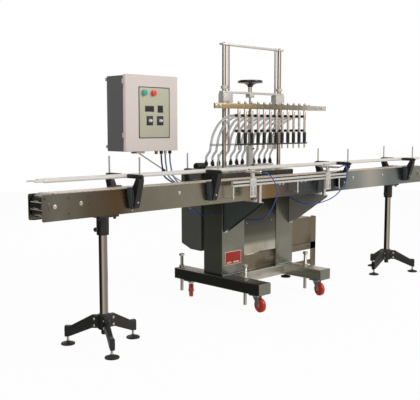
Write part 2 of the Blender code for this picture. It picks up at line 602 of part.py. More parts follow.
def make_nozzles():
    """The bar, the twelve nozzles that hang under it and the rail at their tips."""
    y = (NOZZLE_Y - BAR_THICKNESS / 2, NOZZLE_Y + BAR_THICKNESS / 2)
    cutters = [hole((x, NOZZLE_Y, BAR_BOTTOM - 0.01), (x, NOZZLE_Y, BAR_TOP + 0.01), 0.004, 8)
               for x in NOZZLE_X]
    node("nozzle_bar", STEEL, [block((BAR_LEFT, BAR_RIGHT), y, (BAR_BOTTOM, BAR_TOP))], cutters)

    for i, x in enumerate(NOZZLE_X):
        profile = [(0, 1.444), (0.008, 1.444), (0.008, BAR_TOP + GAP), (0.004, BAR_TOP + GAP),
                   (0.004, BAR_BOTTOM - GAP), (0.011, BAR_BOTTOM - GAP), (0.011, 1.325), (0.009, 1.325),
                   (0.009, 1.232), (0.013, 1.232), (0.013, 1.1555), (0.006, 1.1555), (0.006, 1.115),
                   (0, 1.115)]
        pieces = [turned(profile, Matrix.Translation((x, NOZZLE_Y, 0)), 8)]
        for z in (1.348, 1.243):
            pieces.append(rod((x, NOZZLE_Y + 0.004, z), (x, NOZZLE_Y + 0.034, z), 0.0075, 6))
        node(f"nozzle_{i + 1:02d}", BRIGHT, pieces)

    cutters = [hole((x, NOZZLE_Y, 1.13), (x, NOZZLE_Y, 1.17), 0.006, 8) for x in NOZZLE_X]
    rail = block((NOZZLE_X[0] - 0.024, NOZZLE_X[-1] + 0.024), (NOZZLE_Y - 0.011, NOZZLE_Y + 0.011),
                 (1.1450, 1.1550))
    node("tip_rail", BLACK, [rail], cutters)


def make_product_hoses():
    """Twelve clear hoses from the nozzles, over the deck, down to the valves, on one clip strip."""
    pieces = []
    start_y, end_z = NOZZLE_Y + 0.036, VALVE_TOP + 0.0010
    clip_y, clip_z = 0.126, 1.140
    for x, pass_x, end_x in zip(NOZZLE_X, HOSE_PASS_X, VALVE_X):
        first, second = pass_x - x, end_x - pass_x
        pieces.append(tube([
            (x, start_y, 1.348), (x, start_y + 0.040, 1.346), (x + 0.15 * first, -0.080, 1.328),
            (x + 0.40 * first, -0.020, 1.300), (x + 0.70 * first, 0.035, 1.258), (pass_x, 0.085, 1.200),
            (pass_x + 0.35 * second, clip_y, clip_z), (pass_x + 0.65 * second, 0.158, 1.095),
            (pass_x + 0.88 * second, 0.196, 1.070), (end_x, VALVE_Y, end_z + 0.018),
            (end_x, VALVE_Y, end_z)], HOSE_RADIUS, 0))
    ends = [0.65 * HOSE_PASS_X[i] + 0.35 * VALVE_X[i] for i in (0, -1)]
    strip = block((ends[0] - 0.010, ends[1] + 0.010), (clip_y - 0.003, clip_y + 0.003),
                  (clip_z - 0.008, clip_z + 0.008))
    node("product_hoses", CLEAR, [strip] + pieces)


# ---------------------------------------------------------------- conveyor
def make_conveyor():
    """Side plates with spacers and bearings, the slat chain, and its two shafts."""
    ends = (-CONVEYOR_LENGTH / 2, CONVEYOR_LENGTH / 2)
    z = (PLATE_BOTTOM, PLATE_TOP)
    pieces = [block(ends, (PLATE_NEAR, PLATE_NEAR + PLATE_THICKNESS), z),
              block(ends, (PLATE_FAR - PLATE_THICKNESS, PLATE_FAR), z)]
    spacer_z = SPROCKET_Z
    for x in STATIONS + (-0.044,):
        pieces.append(rod((x, PLATE_NEAR + 0.001, spacer_z), (x, PLATE_FAR - 0.001, spacer_z), 0.010, 8))
    cutters = []
    for side in (-1, 1):
        x = side * SPROCKET_X
        for low, high in ((PLATE_NEAR - 0.010, PLATE_NEAR + 0.001), (PLATE_FAR - 0.001, PLATE_FAR + 0.010)):
            pieces.append(rod((x, low, SPROCKET_Z), (x, high, SPROCKET_Z), 0.036))
        cutters.append(hole((x, PLATE_NEAR - 0.05, SPROCKET_Z), (x, PLATE_FAR + 0.05, SPROCKET_Z),
                            SHAFT_RADIUS, 12, RUN_FIT))
    node("conveyor_frame", STEEL, pieces, cutters)

    def racetrack(radius, start_y, end_y):
        outline = []
        for side in (1, -1):
            for step in range(13):
                angle = side * pi / 2 - pi * step / 12
                outline.append((side * SPROCKET_X + radius * cos(angle), SPROCKET_Z + radius * sin(angle)))
        return across_y(outline, start_y, end_y)

    half = CHAIN_WIDTH / 2
    node("slat_chain", SLAT,
         [racetrack(CHAIN_END_RADIUS, CONVEYOR_Y - half, CONVEYOR_Y + half)],
         [racetrack(CHAIN_END_RADIUS - CHAIN_THICKNESS, CONVEYOR_Y - half - 0.01, CONVEYOR_Y + half + 0.01)])

    inner = CHAIN_END_RADIUS - CHAIN_THICKNESS
    for name, x, near, far in (("tail_shaft", -SPROCKET_X, -0.0105, 0.0105),
                               ("drive_shaft", SPROCKET_X, -0.0105, 0.050)):
        pieces = [rod((x, PLATE_NEAR + near, SPROCKET_Z), (x, PLATE_FAR + far, SPROCKET_Z), SHAFT_RADIUS),
                  rod((x, CONVEYOR_Y - SPROCKET_WIDTH / 2, SPROCKET_Z),
                      (x, CONVEYOR_Y + SPROCKET_WIDTH / 2, SPROCKET_Z), inner * cos(pi / 24) - 0.0006, 20)]
        node(name, DARK_STEEL, pieces, origin=(x, CONVEYOR_Y, SPROCKET_Z))

    x = SPROCKET_X
    near = PLATE_FAR + 0.010 + GAP
    pieces = [block((x - 0.058, x + 0.058), (near, near + 0.170), (SPROCKET_Z - 0.060, SPROCKET_Z + 0.058)),
              rod((x - 0.300, near + 0.115, SPROCKET_Z), (x - 0.056, near + 0.115, SPROCKET_Z), 0.055, 16)]
    cutters = [hole((x, near - 0.01, SPROCKET_Z), (x, PLATE_FAR + 0.054, SPROCKET_Z), SHAFT_RADIUS, 12, RUN_FIT)]
    node("gear_motor", DARK_STEEL, pieces, cutters)


def make_guide_rail(name, side):
    """A guide rail with its clamp heads, vertical rods and the bracket bodies on the side plate."""
    rail_y = CONVEYOR_Y + side * RAIL_OFFSET
    plate_y = CONVEYOR_Y + side * (CONVEYOR_WIDTH / 2 + GAP)
    rod_y = plate_y + side * ROD_REACH
    half = RAIL_LENGTH / 2
    pieces = [rod((-half + 0.056, rail_y, RAIL_HEIGHT), (half - 0.056, rail_y, RAIL_HEIGHT), RAIL_RADIUS, 10),
              rod((-half, rail_y, RAIL_HEIGHT), (half, rail_y, RAIL_HEIGHT), RAIL_RADIUS * 0.55, 8)]
    profile = [(-0.038, 0.925), (-0.035, 0.880), (-0.022, 0.800), (0.022, 0.800), (0.035, 0.880), (0.038, 0.925)]
    # An arm leans outwards to the rod's clamp; distances are from the side plate. Where the front
    # rail passes, the arm is slim and starts above it.
    reach = ROD_REACH + 0.017
    slim = [(0.006, 0.9185), (0.060, 0.9185), (reach, 0.958), (reach, 0.978), (ROD_REACH - 0.014, 0.978),
            (0.036, 0.9300), (0.006, 0.9300)]
    broad = [(0.030, 0.806), (0.046, 0.806), (reach, 0.958), (reach, 0.978), (ROD_REACH - 0.014, 0.978),
             (0.030, 0.9300)]
    for x in STATIONS:
        shape = [(x + u, v) for u, v in profile]
        low, high = sorted((plate_y, plate_y + side * BRACKET_DEPTH))
        pieces.append(across_y(shape, low, high))
        beside_rail = side < 0 and FRONT_RAIL_LEFT < x < FRONT_RAIL_RIGHT
        arm, wide = (slim, 0.014) if beside_rail else (broad, 0.020)
        pieces.append(across_x([(plate_y + side * u, v) for u, v in arm], x - wide, x + wide))
        pieces.append(rod((x, rod_y, 0.950), (x, rod_y, 1.100), 0.005, 8))
        low, high = sorted((rail_y + side * 0.004, rod_y + side * 0.013))
        pieces.append(block((x - 0.016, x + 0.016), (low, high), (RAIL_HEIGHT - 0.011, RAIL_HEIGHT + 0.013)))
        pieces.append(rod((x, rod_y + side * 0.011, RAIL_HEIGHT), (x, rod_y + side * 0.030, RAIL_HEIGHT),
                          0.0085, 8))
    node(name, ALUMINIUM, pieces)


def make_front_rail():
    """The profile rail in front of the conveyor, its two posts and three flat stays."""
    near, far = FRONT_RAIL_Y - 0.010, FRONT_RAIL_Y + 0.010
    pieces = [block((FRONT_RAIL_LEFT, FRONT_RAIL_RIGHT), (near, far), (FRONT_RAIL_BOTTOM, FRONT_RAIL_TOP))]
    for x in GUSSET_X:
        pieces.append(block((x - 0.011, x + 0.011), (far - 0.001, far + 0.021),
                            (GUSSET_TOP + GAP, FRONT_RAIL_BOTTOM + 0.025)))
    plate = PLATE_NEAR - GAP
    for x in (-0.597, 0.083, 0.600):
        pieces.append(block((x - 0.006, x + 0.006), (far - 0.004, far + 0.001), (0.795, FRONT_RAIL_BOTTOM + 0.02)))
        pieces.append(rod((x, far - 0.002, 0.805), (x, plate, 0.805), 0.005, 8))
    node("front_rail", ALUMINIUM, pieces)


def make_gate(name, x, tail):
    """An air cylinder across the lane on its slotted plate, and the pin that stops the bottles."""
    nose = GATE_NOSE
    z = GATE_HEIGHT
    front = FRONT_RAIL_Y - 0.010 - GAP
    pieces = [rod((x, tail, z), (x, nose, z), 0.010),
              rod((x, tail - 0.014, z), (x, tail + 0.001, z), 0.006, 8),
              rod((x, nose - 0.020, z), (x, nose - 0.020, z + 0.018), 0.005, 8),
              block((x - 0.031, x + 0.031), (front - 0.005, front), (0.800, FRONT_RAIL_TOP + 0.014)),
              block((x - 0.014, x + 0.014), (front - 0.0045, front + 0.012), (FRONT_RAIL_TOP + 0.008, z))]
    cutters = [hole((x, tail + 0.020, z), (x, nose + 0.01, z), GATE_PIN_RADIUS, 8, RUN_FIT)]
    for u in (-0.016, 0.016):
        cutters.append(block((x + u - 0.004, x + u + 0.004), (front - 0.01, front + 0.01), (0.812, 0.870)))
    node(f"gate_cylinder_{name}", ALUMINIUM, pieces, cutters)
    node(f"gate_pin_{name}", BRIGHT, [rod((x, tail + 0.022, z), (x, PLATE_NEAR + 0.028, z), GATE_PIN_RADIUS, 8)],
         origin=(x, nose, z))


# ---------------------------------------------------------------- tripods
def make_tripod(name, x, heading):
    """A clamp head under the conveyor, its pole, and a three-legged foot on round pads."""
    y = CONVEYOR_Y
    top = PLATE_BOTTOM - GAP
    pieces = [block((x - 0.070, x + 0.070), (y - 0.066, y + 0.066), (top - 0.012, top)),
              rod((x, y, 0.655), (x, y, top - 0.004), 0.036),
              rod((x - 0.030, y, 0.690), (x - 0.046, y, 0.690), 0.006, 8),
              rod((x - 0.042, y, 0.690), (x - 0.058, y, 0.690), 0.013, 8),
              rod((x, y, 0.120), (x, y, 0.700), 0.025),
              rod((x, y, 0.104), (x, y, 0.197), 0.036),
              rod((x, y, 0.074), (x, y, 0.108), 0.018, 8)]
    leg = [(0.020, 0.190), (0.072, 0.187), (TRIPOD_SPREAD - 0.022, 0.116), (TRIPOD_SPREAD + 0.016, 0.114),
           (TRIPOD_SPREAD + 0.016, 0.044), (TRIPOD_SPREAD - 0.018, 0.050), (0.072, 0.106), (0.020, 0.108)]
    for turn in (0, 120, 240):
        angle = radians(heading + turn)
        matrix = Matrix.Translation((x, y, 0)) @ Matrix.Rotation(angle, 4, "Z")
        piece = across_y(leg, -0.016, 0.016)
        piece.data.transform(matrix)
        pieces.append(piece)
        foot_x, foot_y = x + TRIPOD_SPREAD * cos(angle), y + TRIPOD_SPREAD * sin(angle)
        pad = [(0, 0.050), (0.009, 0.050), (0.009, 0.018), (PAD_RADIUS, 0.009), (PAD_RADIUS, 0), (0, 0)]
        pieces.append(turned(pad, Matrix.Translation((foot_x, foot_y, 0)), 12))
    node(name, BLACK, pieces)


# ---------------------------------------------------------------- control box
def make_control_box():
    """A sheet-metal box with cable glands, its hinged door, two buttons and two knobs."""
    hinge = (BOX_LEFT - 0.004, BOX_FRONT)
    x, z = (BOX_LEFT, BOX_RIGHT), (BOX_BOTTOM, BOX_TOP)
    pieces = [block(x, (BOX_FRONT, BOX_REAR), z)]
    for gland_x, radius in ((-0.865, 0.012), (-0.821, 0.013), (-0.785, 0.012), (-0.744, 0.013)):
        pieces.append(rod((gland_x, GLAND_Y, BOX_BOTTOM - 0.024), (gland_x, GLAND_Y, BOX_BOTTOM + 0.001), radius, 8))
    inner = [(x[0] + BOX_WALL, x[1] - BOX_WALL), (BOX_FRONT - 0.01, BOX_REAR - BOX_WALL),
             (z[0] + BOX_WALL, z[1] - BOX_WALL)]
    knuckles = (BOX_BOTTOM + 0.060, BOX_TOP - 0.090)
    for low in knuckles:
        pieces.append(rod((*hinge, low), (*hinge, low + 0.030), 0.0035, 8))
        pieces.append(block((hinge[0], BOX_LEFT + 0.001), (BOX_FRONT, BOX_FRONT + 0.003), (low, low + 0.030)))
    node("control_box_body", GREY, pieces, [block(*inner)])

    back = BOX_FRONT - GAP
    front = back - DOOR_DEPTH
    pieces = [block(x, (front, back), z)]
    for low in knuckles:
        low += 0.030 + GAP
        pieces.append(rod((*hinge, low), (*hinge, low + 0.030), 0.0035, 8))
        pieces.append(block((hinge[0], BOX_LEFT + 0.001), (back - 0.003, back), (low, low + 0.030)))
    cutters = [block((x[0] + 0.003, x[1] - 0.003), (front + 0.003, back + 0.01), (z[0] + 0.003, z[1] - 0.003))]
    # Frame round the instrument panel, and a plate behind each knob.
    outer, inset = (-1.060, -0.797), (1.197, 1.528)
    pieces.append(block(outer, (front - 0.003, front + 0.001), inset))
    cutters.append(block((outer[0] + 0.006, outer[1] - 0.006), (front - 0.01, front - 0.0005),
                         (inset[0] + 0.006, inset[1] - 0.006)))
    for _, bx, bz in BUTTONS:
        cutters.append(hole((bx, front - 0.02, bz), (bx, front + 0.02, bz), BUTTON_RADIUS - 0.005, 12))
    for _, kx, kz in KNOBS:
        cutters.append(hole((kx, front - 0.02, kz), (kx, front + 0.02, kz), 0.003, 12, RUN_FIT))
    node("control_box_door", BEIGE, pieces, cutters, origin=(*hinge, BOX_BOTTOM))

    for (name, bx, bz), look in zip(BUTTONS, (GREEN, RED)):
        # The stem slides in the door and the head stands off by a little more than its travel.
        r = BUTTON_RADIUS
        profile = [(0, 0.020), (r - 0.004, 0.019), (r, 0.014), (r, 0.0055), (r - 0.005, 0.0055),
                   (r - 0.005, -0.0045), (0, -0.0045)]
        place = Matrix.Translation((bx, front, bz)) @ Matrix.Rotation(radians(90), 4, "X")
        node(name, look, [turned(profile, place, 12)], origin=(bx, front, bz))
    for name, kx, kz in KNOBS:
        r = KNOB_RADIUS
        profile = [(0, 0.022), (r - 0.001, 0.022), (r, 0.020), (r, 0.0008), (0.003, 0.0008), (0.003, -0.010),
                   (0, -0.010)]
        place = Matrix.Translation((kx, front, kz)) @ Matrix.Rotation(radians(90), 4, "X")
        node(name, WHITE, [turned(profile, place, 12)], origin=(kx, front, kz))


# ---------------------------------------------------------------- hoses and cables
def smooth(points, steps=5):
    """A smooth line through hand-placed points by Catmull-Rom spans, with its two end spans straight."""
    first, last = Vector(points[0]), Vector(points[-1])
    line = [Vector(p) for p in points[1:-1]]
    line = [line[0] * 2 - line[1]] + line + [line[-1] * 2 - line[-2]]
    route = []
    for a, b, c, d in zip(line, line[1:], line[2:], line[3:]):
        for step in range(steps):
            t = step / steps
            route.append(0.5 * (2 * b + (c - a) * t + (2 * a - 5 * b + 4 * c - d) * t * t
                                + (3 * b - a - 3 * c + d) * t ** 3))
    return [first] + route + [line[-2], last]


def make_hoses():
    """The air hoses of the two gates and of the chain tensioner, and the control cables."""
    routes = {
        "air_hose_left": [(-0.424, -0.4446, 0.972), (-0.424, -0.452, 0.972), (-0.400, -0.468, 0.962),
                          (-0.345, -0.466, 0.922), (-0.287, -0.448, 0.868), (-0.235, -0.415, 0.815),
                          (-0.207, -0.370, 0.762), (-0.180, -0.320, 0.705), (-0.160, -0.270, 0.655),
                          (-0.152, -0.200, 0.613), (-0.165, -0.120, 0.602), (-0.188, -0.055, 0.606),
                          (-0.200, -0.020, 0.610), (-0.200, -0.0108, 0.610)],
        "air_hose_right": [(0.426, -0.4546, 0.972), (0.426, -0.461, 0.972), (0.458, -0.474, 0.985),
                           (0.500, -0.468, 0.974), (0.522, -0.462, 0.932), (0.526, -0.445, 0.848),
                           (0.477, -0.415, 0.774), (0.420, -0.405, 0.742), (0.367, -0.398, 0.727),
                           (0.300, -0.370, 0.708), (0.248, -0.330, 0.700), (0.240, -0.250, 0.706),
                           (0.262, -0.160, 0.722), (0.300, -0.080, 0.736), (0.330, -0.022, 0.742),
                           (0.330, -0.0108, 0.742)],
        "air_hose_sensor": [(-0.897, -0.235, 0.7722), (-0.896, -0.235, 0.765), (-0.860, -0.215, 0.745),
                            (-0.774, -0.160, 0.722), (-0.680, -0.100, 0.690), (-0.582, -0.040, 0.667),
                            (-0.480, 0.030, 0.655), (-0.420, 0.070, 0.652), (-0.372, 0.086, 0.653),
                            (-0.3618, 0.086, 0.653)],
    }
    for name, points in routes.items():
        node(name, BLUE, [tube(smooth(points, 3), 0.004, 2)])
    lines = []
    for x, shift in ((-0.821, 0), (-0.785, 1), (-0.744, 2)):
        lines.append(tube(smooth([(x, GLAND_Y, BOX_BOTTOM - 0.0245), (x, GLAND_Y, 1.070), (x + 0.006, 0.116, 1.010),
                                  (x + 0.030, 0.112, 0.930), (-0.640 + 0.004 * shift, 0.095, 0.850),
                                  (-0.520, 0.070, 0.810 + 0.003 * shift), (-0.420, 0.052, 0.800),
                                  (-0.372, 0.050, 0.800), (CABINET_LEFT - 0.0008, 0.050, 0.800)], 2), 0.0055, 1))
    node("control_cables", BLACK, lines)


make_base()
for count, (caster_x, caster_y, way) in enumerate(CASTERS, 1):
    make_caster(count, caster_x, caster_y, way)
make_cabinet()
make_name_plate()
make_side_box()
make_pump()
make_lift()
make_crosshead()
make_handwheel()
make_nozzles()
make_product_hoses()
make_conveyor()
make_guide_rail("guide_rail_front", -1)
make_guide_rail("guide_rail_rear", 1)
make_front_rail()
for gate in GATES:
    make_gate(*gate)
make_tripod("tripod_left", TRIPOD_X[0], 4)
make_tripod("tripod_right", TRIPOD_X[1], 184)
make_control_box()
make_hoses()
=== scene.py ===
# %% [markdown]
# # A piston liquid filler, dressed around its working frame
#
# The machine is a row of twelve filling nozzles on a lifting head, over a long slat-chain
# conveyor. The engineering model is loaded first: it says where every piece is and what
# moves. Everything after that makes the surfaces that the eye sees, and ties each of them
# to the body that carries it.

# %% Load the working frame
from math import cos, pi, radians, sin

import bmesh
import bpy
import numpy as np
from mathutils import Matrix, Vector


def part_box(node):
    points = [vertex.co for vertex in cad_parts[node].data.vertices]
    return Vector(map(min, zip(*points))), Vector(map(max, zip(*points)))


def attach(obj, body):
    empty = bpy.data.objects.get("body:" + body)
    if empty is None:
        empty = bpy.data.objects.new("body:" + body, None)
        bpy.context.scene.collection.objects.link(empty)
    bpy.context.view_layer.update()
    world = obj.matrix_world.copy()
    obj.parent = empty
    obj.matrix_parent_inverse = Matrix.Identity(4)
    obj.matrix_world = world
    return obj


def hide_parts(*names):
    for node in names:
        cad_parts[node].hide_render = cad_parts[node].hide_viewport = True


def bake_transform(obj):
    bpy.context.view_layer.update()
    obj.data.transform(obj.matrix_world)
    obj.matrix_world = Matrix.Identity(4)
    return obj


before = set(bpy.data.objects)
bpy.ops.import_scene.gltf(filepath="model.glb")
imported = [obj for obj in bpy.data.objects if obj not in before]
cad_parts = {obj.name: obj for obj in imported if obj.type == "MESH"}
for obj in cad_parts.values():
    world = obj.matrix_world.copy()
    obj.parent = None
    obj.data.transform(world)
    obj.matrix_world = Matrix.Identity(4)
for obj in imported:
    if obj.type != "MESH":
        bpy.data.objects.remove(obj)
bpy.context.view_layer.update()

# %% [markdown]
# ## The camera, the floor and the light
#
# A machine like this is pictured from the left front corner at a standing person's height,
# with a long enough lens to keep its posts upright. The camera looks at 45 degrees across
# the conveyor and a little down.

# %% Camera
sensor_width = 0.036
focal_length_in_widths = 707 / 420        # focal length as a share of the picture's width
camera_data = bpy.data.cameras.new("camera")
camera_data.sensor_fit = "HORIZONTAL"
camera_data.sensor_width = sensor_width * 1000
camera_data.lens = sensor_width * 1000 * focal_length_in_widths
camera_data.clip_end = 60
camera = bpy.data.objects.new("camera", camera_data)
bpy.context.scene.collection.objects.link(camera)
camera.location = (-3.964, -3.490, 1.270)
heading, pitch = radians(45), radians(-5.9)
looking = Vector((cos(heading) * cos(pitch), sin(heading) * cos(pitch), sin(pitch)))
camera.rotation_euler = looking.to_track_quat("-Z", "Y").to_euler()
bpy.context.scene.camera = camera
bpy.context.scene.view_settings.view_transform = "Standard"
print("lens", round(camera_data.lens, 1), "mm")

# %% [markdown]
# Colours are written as the hex values that a paint chart gives. Blender's shaders work in
# linear light, so one function converts them. One more small function adds a shader node
# with its settings and links, and all materials are put together from it.

# %% Colour and node helpers
def colour(hex_code):
    """An sRGB hex value as linear RGBA: divided by 12.92 near black, a 2.4 power above it."""
    channels = np.array([int(hex_code[i:i + 2], 16) / 255 for i in (1, 3, 5)])
    linear = np.where(channels <= 0.04045, channels / 12.92, ((channels + 0.055) / 1.055) ** 2.4)
    return (*(float(v) for v in linear), 1.0)


def add(tree, kind, settings=None, **links):
    """Adds a shader node. Settings go to its properties or sockets, and each link feeds a socket."""
    made = tree.nodes.new(kind)
    for key, value in (settings or {}).items():
        if isinstance(key, str) and hasattr(made, key):
            setattr(made, key, value)
        else:
            made.inputs[key].default_value = value
    for key, output in links.items():
        tree.links.new(output, made.inputs[key.replace("_", " ")])
    return made


# %% [markdown]
# The studio is white towards the backdrop. Polished steel would look like plain white card
# in an all-white room, so the room has one dark side, to the left of the machine, as a real
# hall has. Only mirror-like rays see that side: the picture's background stays white.

# %% World
world = bpy.data.worlds.new("studio")
bpy.context.scene.world = world
world.use_nodes = True
tree = world.node_tree
tree.nodes.clear()
path = add(tree, "ShaderNodeLightPath")
place = add(tree, "ShaderNodeTexCoord")
dark_side = add(tree, "ShaderNodeVectorMath", {"operation": "DOT_PRODUCT", 1: (-0.80, 0.60, -0.12)})
tree.links.new(place.outputs["Generated"], dark_side.inputs[0])
room = add(tree, "ShaderNodeValToRGB")
tree.links.new(dark_side.outputs["Value"], room.inputs["Fac"])
room.color_ramp.interpolation = "EASE"
room.color_ramp.elements[0].position = 0.30
room.color_ramp.elements[0].color = colour("#E9E4DC")
room.color_ramp.elements[1].position = 0.82
room.color_ramp.elements[1].color = colour("#64665F")
seen_directly = add(tree, "ShaderNodeMath", {"operation": "MAXIMUM"})
tree.links.new(path.outputs["Is Camera Ray"], seen_directly.inputs[0])
tree.links.new(path.outputs["Is Transmission Ray"], seen_directly.inputs[1])
mirror_room = add(tree, "ShaderNodeBackground", {"Strength": 0.95}, Color=room.outputs["Color"])
soft_room = add(tree, "ShaderNodeBackground", {"Color": colour("#F4F2EE"), "Strength": 0.62})
white_room = add(tree, "ShaderNodeBackground", {"Color": (1, 1, 1, 1), "Strength": 1.0})
by_gloss = add(tree, "ShaderNodeMixShader", Fac=path.outputs["Is Glossy Ray"])
tree.links.new(soft_room.outputs[0], by_gloss.inputs[1])
tree.links.new(mirror_room.outputs[0], by_gloss.inputs[2])
by_eye = add(tree, "ShaderNodeMixShader", Fac=seen_directly.outputs[0])
tree.links.new(by_gloss.outputs[0], by_eye.inputs[1])
tree.links.new(white_room.outputs[0], by_eye.inputs[2])
add(tree, "ShaderNodeOutputWorld", Surface=by_eye.outputs[0])
print("world nodes:", len(tree.nodes))

# %% Floor and lamps
floor_data = bpy.data.meshes.new("floor")
floor_half = 9.0
floor_data.from_pydata([(-floor_half, -floor_half, -0.001), (floor_half, -floor_half, -0.001),
                        (floor_half, floor_half, -0.001), (-floor_half, floor_half, -0.001)],
                       [], [(0, 1, 2, 3)])
floor = bpy.data.objects.new("floor", floor_data)
bpy.context.scene.collection.objects.link(floor)
floor_paint = bpy.data.materials.new("pale_studio_floor")
floor_paint.use_nodes = True
tree = floor_paint.node_tree
tree.nodes.clear()
path = add(tree, "ShaderNodeLightPath")
white = add(tree, "ShaderNodeEmission", {"Color": (1, 1, 1, 1), "Strength": 1.0})
matt = add(tree, "ShaderNodeBsdfDiffuse", {"Color": (0.80, 0.80, 0.80, 1)})
open_air = add(tree, "ShaderNodeBsdfTransparent")
shadowed = add(tree, "ShaderNodeMixShader", {0: 0.955})
tree.links.new(matt.outputs[0], shadowed.inputs[1])
tree.links.new(white.outputs[0], shadowed.inputs[2])
by_eye = add(tree, "ShaderNodeMixShader", Fac=path.outputs["Is Camera Ray"])
tree.links.new(matt.outputs[0], by_eye.inputs[1])
tree.links.new(shadowed.outputs[0], by_eye.inputs[2])
by_gloss = add(tree, "ShaderNodeMixShader", Fac=path.outputs["Is Glossy Ray"])
tree.links.new(by_eye.outputs[0], by_gloss.inputs[1])
tree.links.new(open_air.outputs[0], by_gloss.inputs[2])
add(tree, "ShaderNodeOutputMaterial", Surface=by_gloss.outputs[0])
floor_data.materials.append(floor_paint)

for lamp_name, place_at, size, power in (("key_lamp", (1.6, -4.6, 4.2), 3.0, 150),
                                         ("fill_lamp", (-4.6, -2.6, 3.2), 3.0, 50),
                                         ("rear_lamp", (0.5, 4.5, 3.8), 3.0, 60)):
    lamp_data = bpy.data.lights.new(lamp_name, "AREA")
    lamp_data.size = size
    lamp_data.energy = power
    lamp = bpy.data.objects.new(lamp_name, lamp_data)
    lamp.location = place_at
    lamp.rotation_euler = (Vector((0, 0, 0.9)) - Vector(place_at)).to_track_quat("-Z", "Y").to_euler()
    bpy.context.scene.collection.objects.link(lamp)

# %% [markdown]
# ## Shapes from formulas
#
# Nearly every piece of a machine is one section carried along a line: a bar, a turned
# collar, a bent sheet or a hose. So each shape here is a grid of points, rings by sides,
# worked out with whole arrays. The columns wrap round, and the first and last ring are
# closed by a face.

# %% Skins into objects
def volume_of(rings):
    """Signed volume of a closed skin: the sum over its triangles of a . (b x c) / 6."""
    a, b = rings[:-1], np.roll(rings[:-1], -1, axis=1)
    d, c = rings[1:], np.roll(rings[1:], -1, axis=1)
    sides = np.einsum("ijk,ijk->", a, np.cross(b, c)) + np.einsum("ijk,ijk->", a, np.cross(c, d))
    low, high = rings[0], rings[-1]
    low_cap = np.einsum("ik,ik->", np.cross(np.roll(low, -1, axis=0), low), low.mean(0)[None] + 0 * low)
    high_cap = np.einsum("ik,ik->", np.cross(high, np.roll(high, -1, axis=0)), high.mean(0)[None] + 0 * high)
    return (sides + low_cap + high_cap) / 6


def piece(name, skins, finish, body="root", stands_for=(), slot=None, crease=38):
    """Closed skins as one object that rides on a body, or on none. Each skin's volume turns its faces out."""
    corners, faces, start = [], [], 0
    for rings in skins:
        rings = np.asarray(rings, float)
        if volume_of(rings - rings.reshape(-1, 3).mean(0)) < 0:
            rings = rings[:, ::-1]
        count, sides = rings.shape[:2]
        first = start + np.arange(count - 1)[:, None] * sides
        one = np.arange(sides)[None, :]
        two = (one + 1) % sides
        quads = np.stack([first + one, first + two, first + sides + two, first + sides + one], axis=-1)
        faces += quads.reshape(-1, 4).tolist()
        faces.append((start + np.arange(sides)[::-1]).tolist())
        faces.append((start + (count - 1) * sides + np.arange(sides)).tolist())
        corners.append(rings.reshape(-1, 3))
        start += count * sides
    data = bpy.data.meshes.new(name)
    data.from_pydata(np.concatenate(corners).tolist(), [], faces)
    grown = bmesh.new()
    grown.from_mesh(data)
    bmesh.ops.remove_doubles(grown, verts=grown.verts, dist=1e-6)
    grown.to_mesh(data)
    grown.free()
    data.shade_smooth()
    data.set_sharp_from_angle(angle=radians(crease))
    data.materials.append(finish)
    made = bpy.data.objects.new(name, data)
    bpy.context.scene.collection.objects.link(made)
    if body:
        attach(made, body)
    if stands_for:
        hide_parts(*stands_for)
    slot = slot_of.get(finish.name) if slot is None else slot
    return made


# %% Bars, blocks, turned pieces, plates and swept pieces
def frame_of(axis):
    """Two unit vectors square to an axis, by cross products with the least parallel world axis."""
    axis = np.asarray(axis, float) / np.linalg.norm(axis)
    helper = np.eye(3)[int(np.argmin(np.abs(axis)))]
    one = np.cross(axis, helper)
    one /= np.linalg.norm(one)
    return axis, one, np.cross(axis, one)


def turned(profile, base, axis=(0, 0, 1), sides=24, turn=0.0):
    """Surface of revolution: base + axis * along + radius * (cos u, sin u) in the plane across it."""
    axis, one, two = frame_of(axis)
    along, radius = np.asarray(profile, float).T
    u = np.arange(sides) * 2 * pi / sides + turn
    spoke = np.cos(u)[:, None] * one + np.sin(u)[:, None] * two
    return np.asarray(base, float) + along[:, None, None] * axis + radius[:, None, None] * spoke[None]


def bar(start, end, radius, edge=0.0008, sides=20, turn=0.0):
    """A round bar with a small chamfer at both ends."""
    start, end = np.asarray(start, float), np.asarray(end, float)
    length = float(np.linalg.norm(end - start))
    profile = [(0, radius - edge), (edge, radius), (length - edge, radius), (length, radius - edge)]
    return turned(profile, start, end - start, sides, turn)


def block(x, y, z, edge=0.0015, steps=3):
    """A box with rounded edges: rings of a rounded rectangle, drawn in by the cosine of a quarter turn."""
    low, high = np.array([x[0], y[0], z[0]]), np.array([x[1], y[1], z[1]])
    centre, half = (low + high) / 2, (high - low) / 2
    edge = min(edge, float(half.min()) * 0.98)
    quarter = np.linspace(0, pi / 2, steps + 1)
    u = np.concatenate([quarter + k * pi / 2 for k in range(4)])
    signs = np.repeat(np.array([[1, 1], [-1, 1], [-1, -1], [1, -1]]), steps + 1, axis=0)
    v = np.concatenate([-quarter[::-1], quarter])
    rise = np.concatenate([-np.ones(steps + 1), np.ones(steps + 1)]) * (half[2] - edge) + edge * np.sin(v)
    flat = signs * (half[:2] - edge)
    ring = flat[None] + edge * np.cos(v)[:, None, None] * np.stack([np.cos(u), np.sin(u)], -1)[None]
    return centre + np.concatenate([ring, np.broadcast_to(rise[:, None, None], (*ring.shape[:2], 1))], -1)


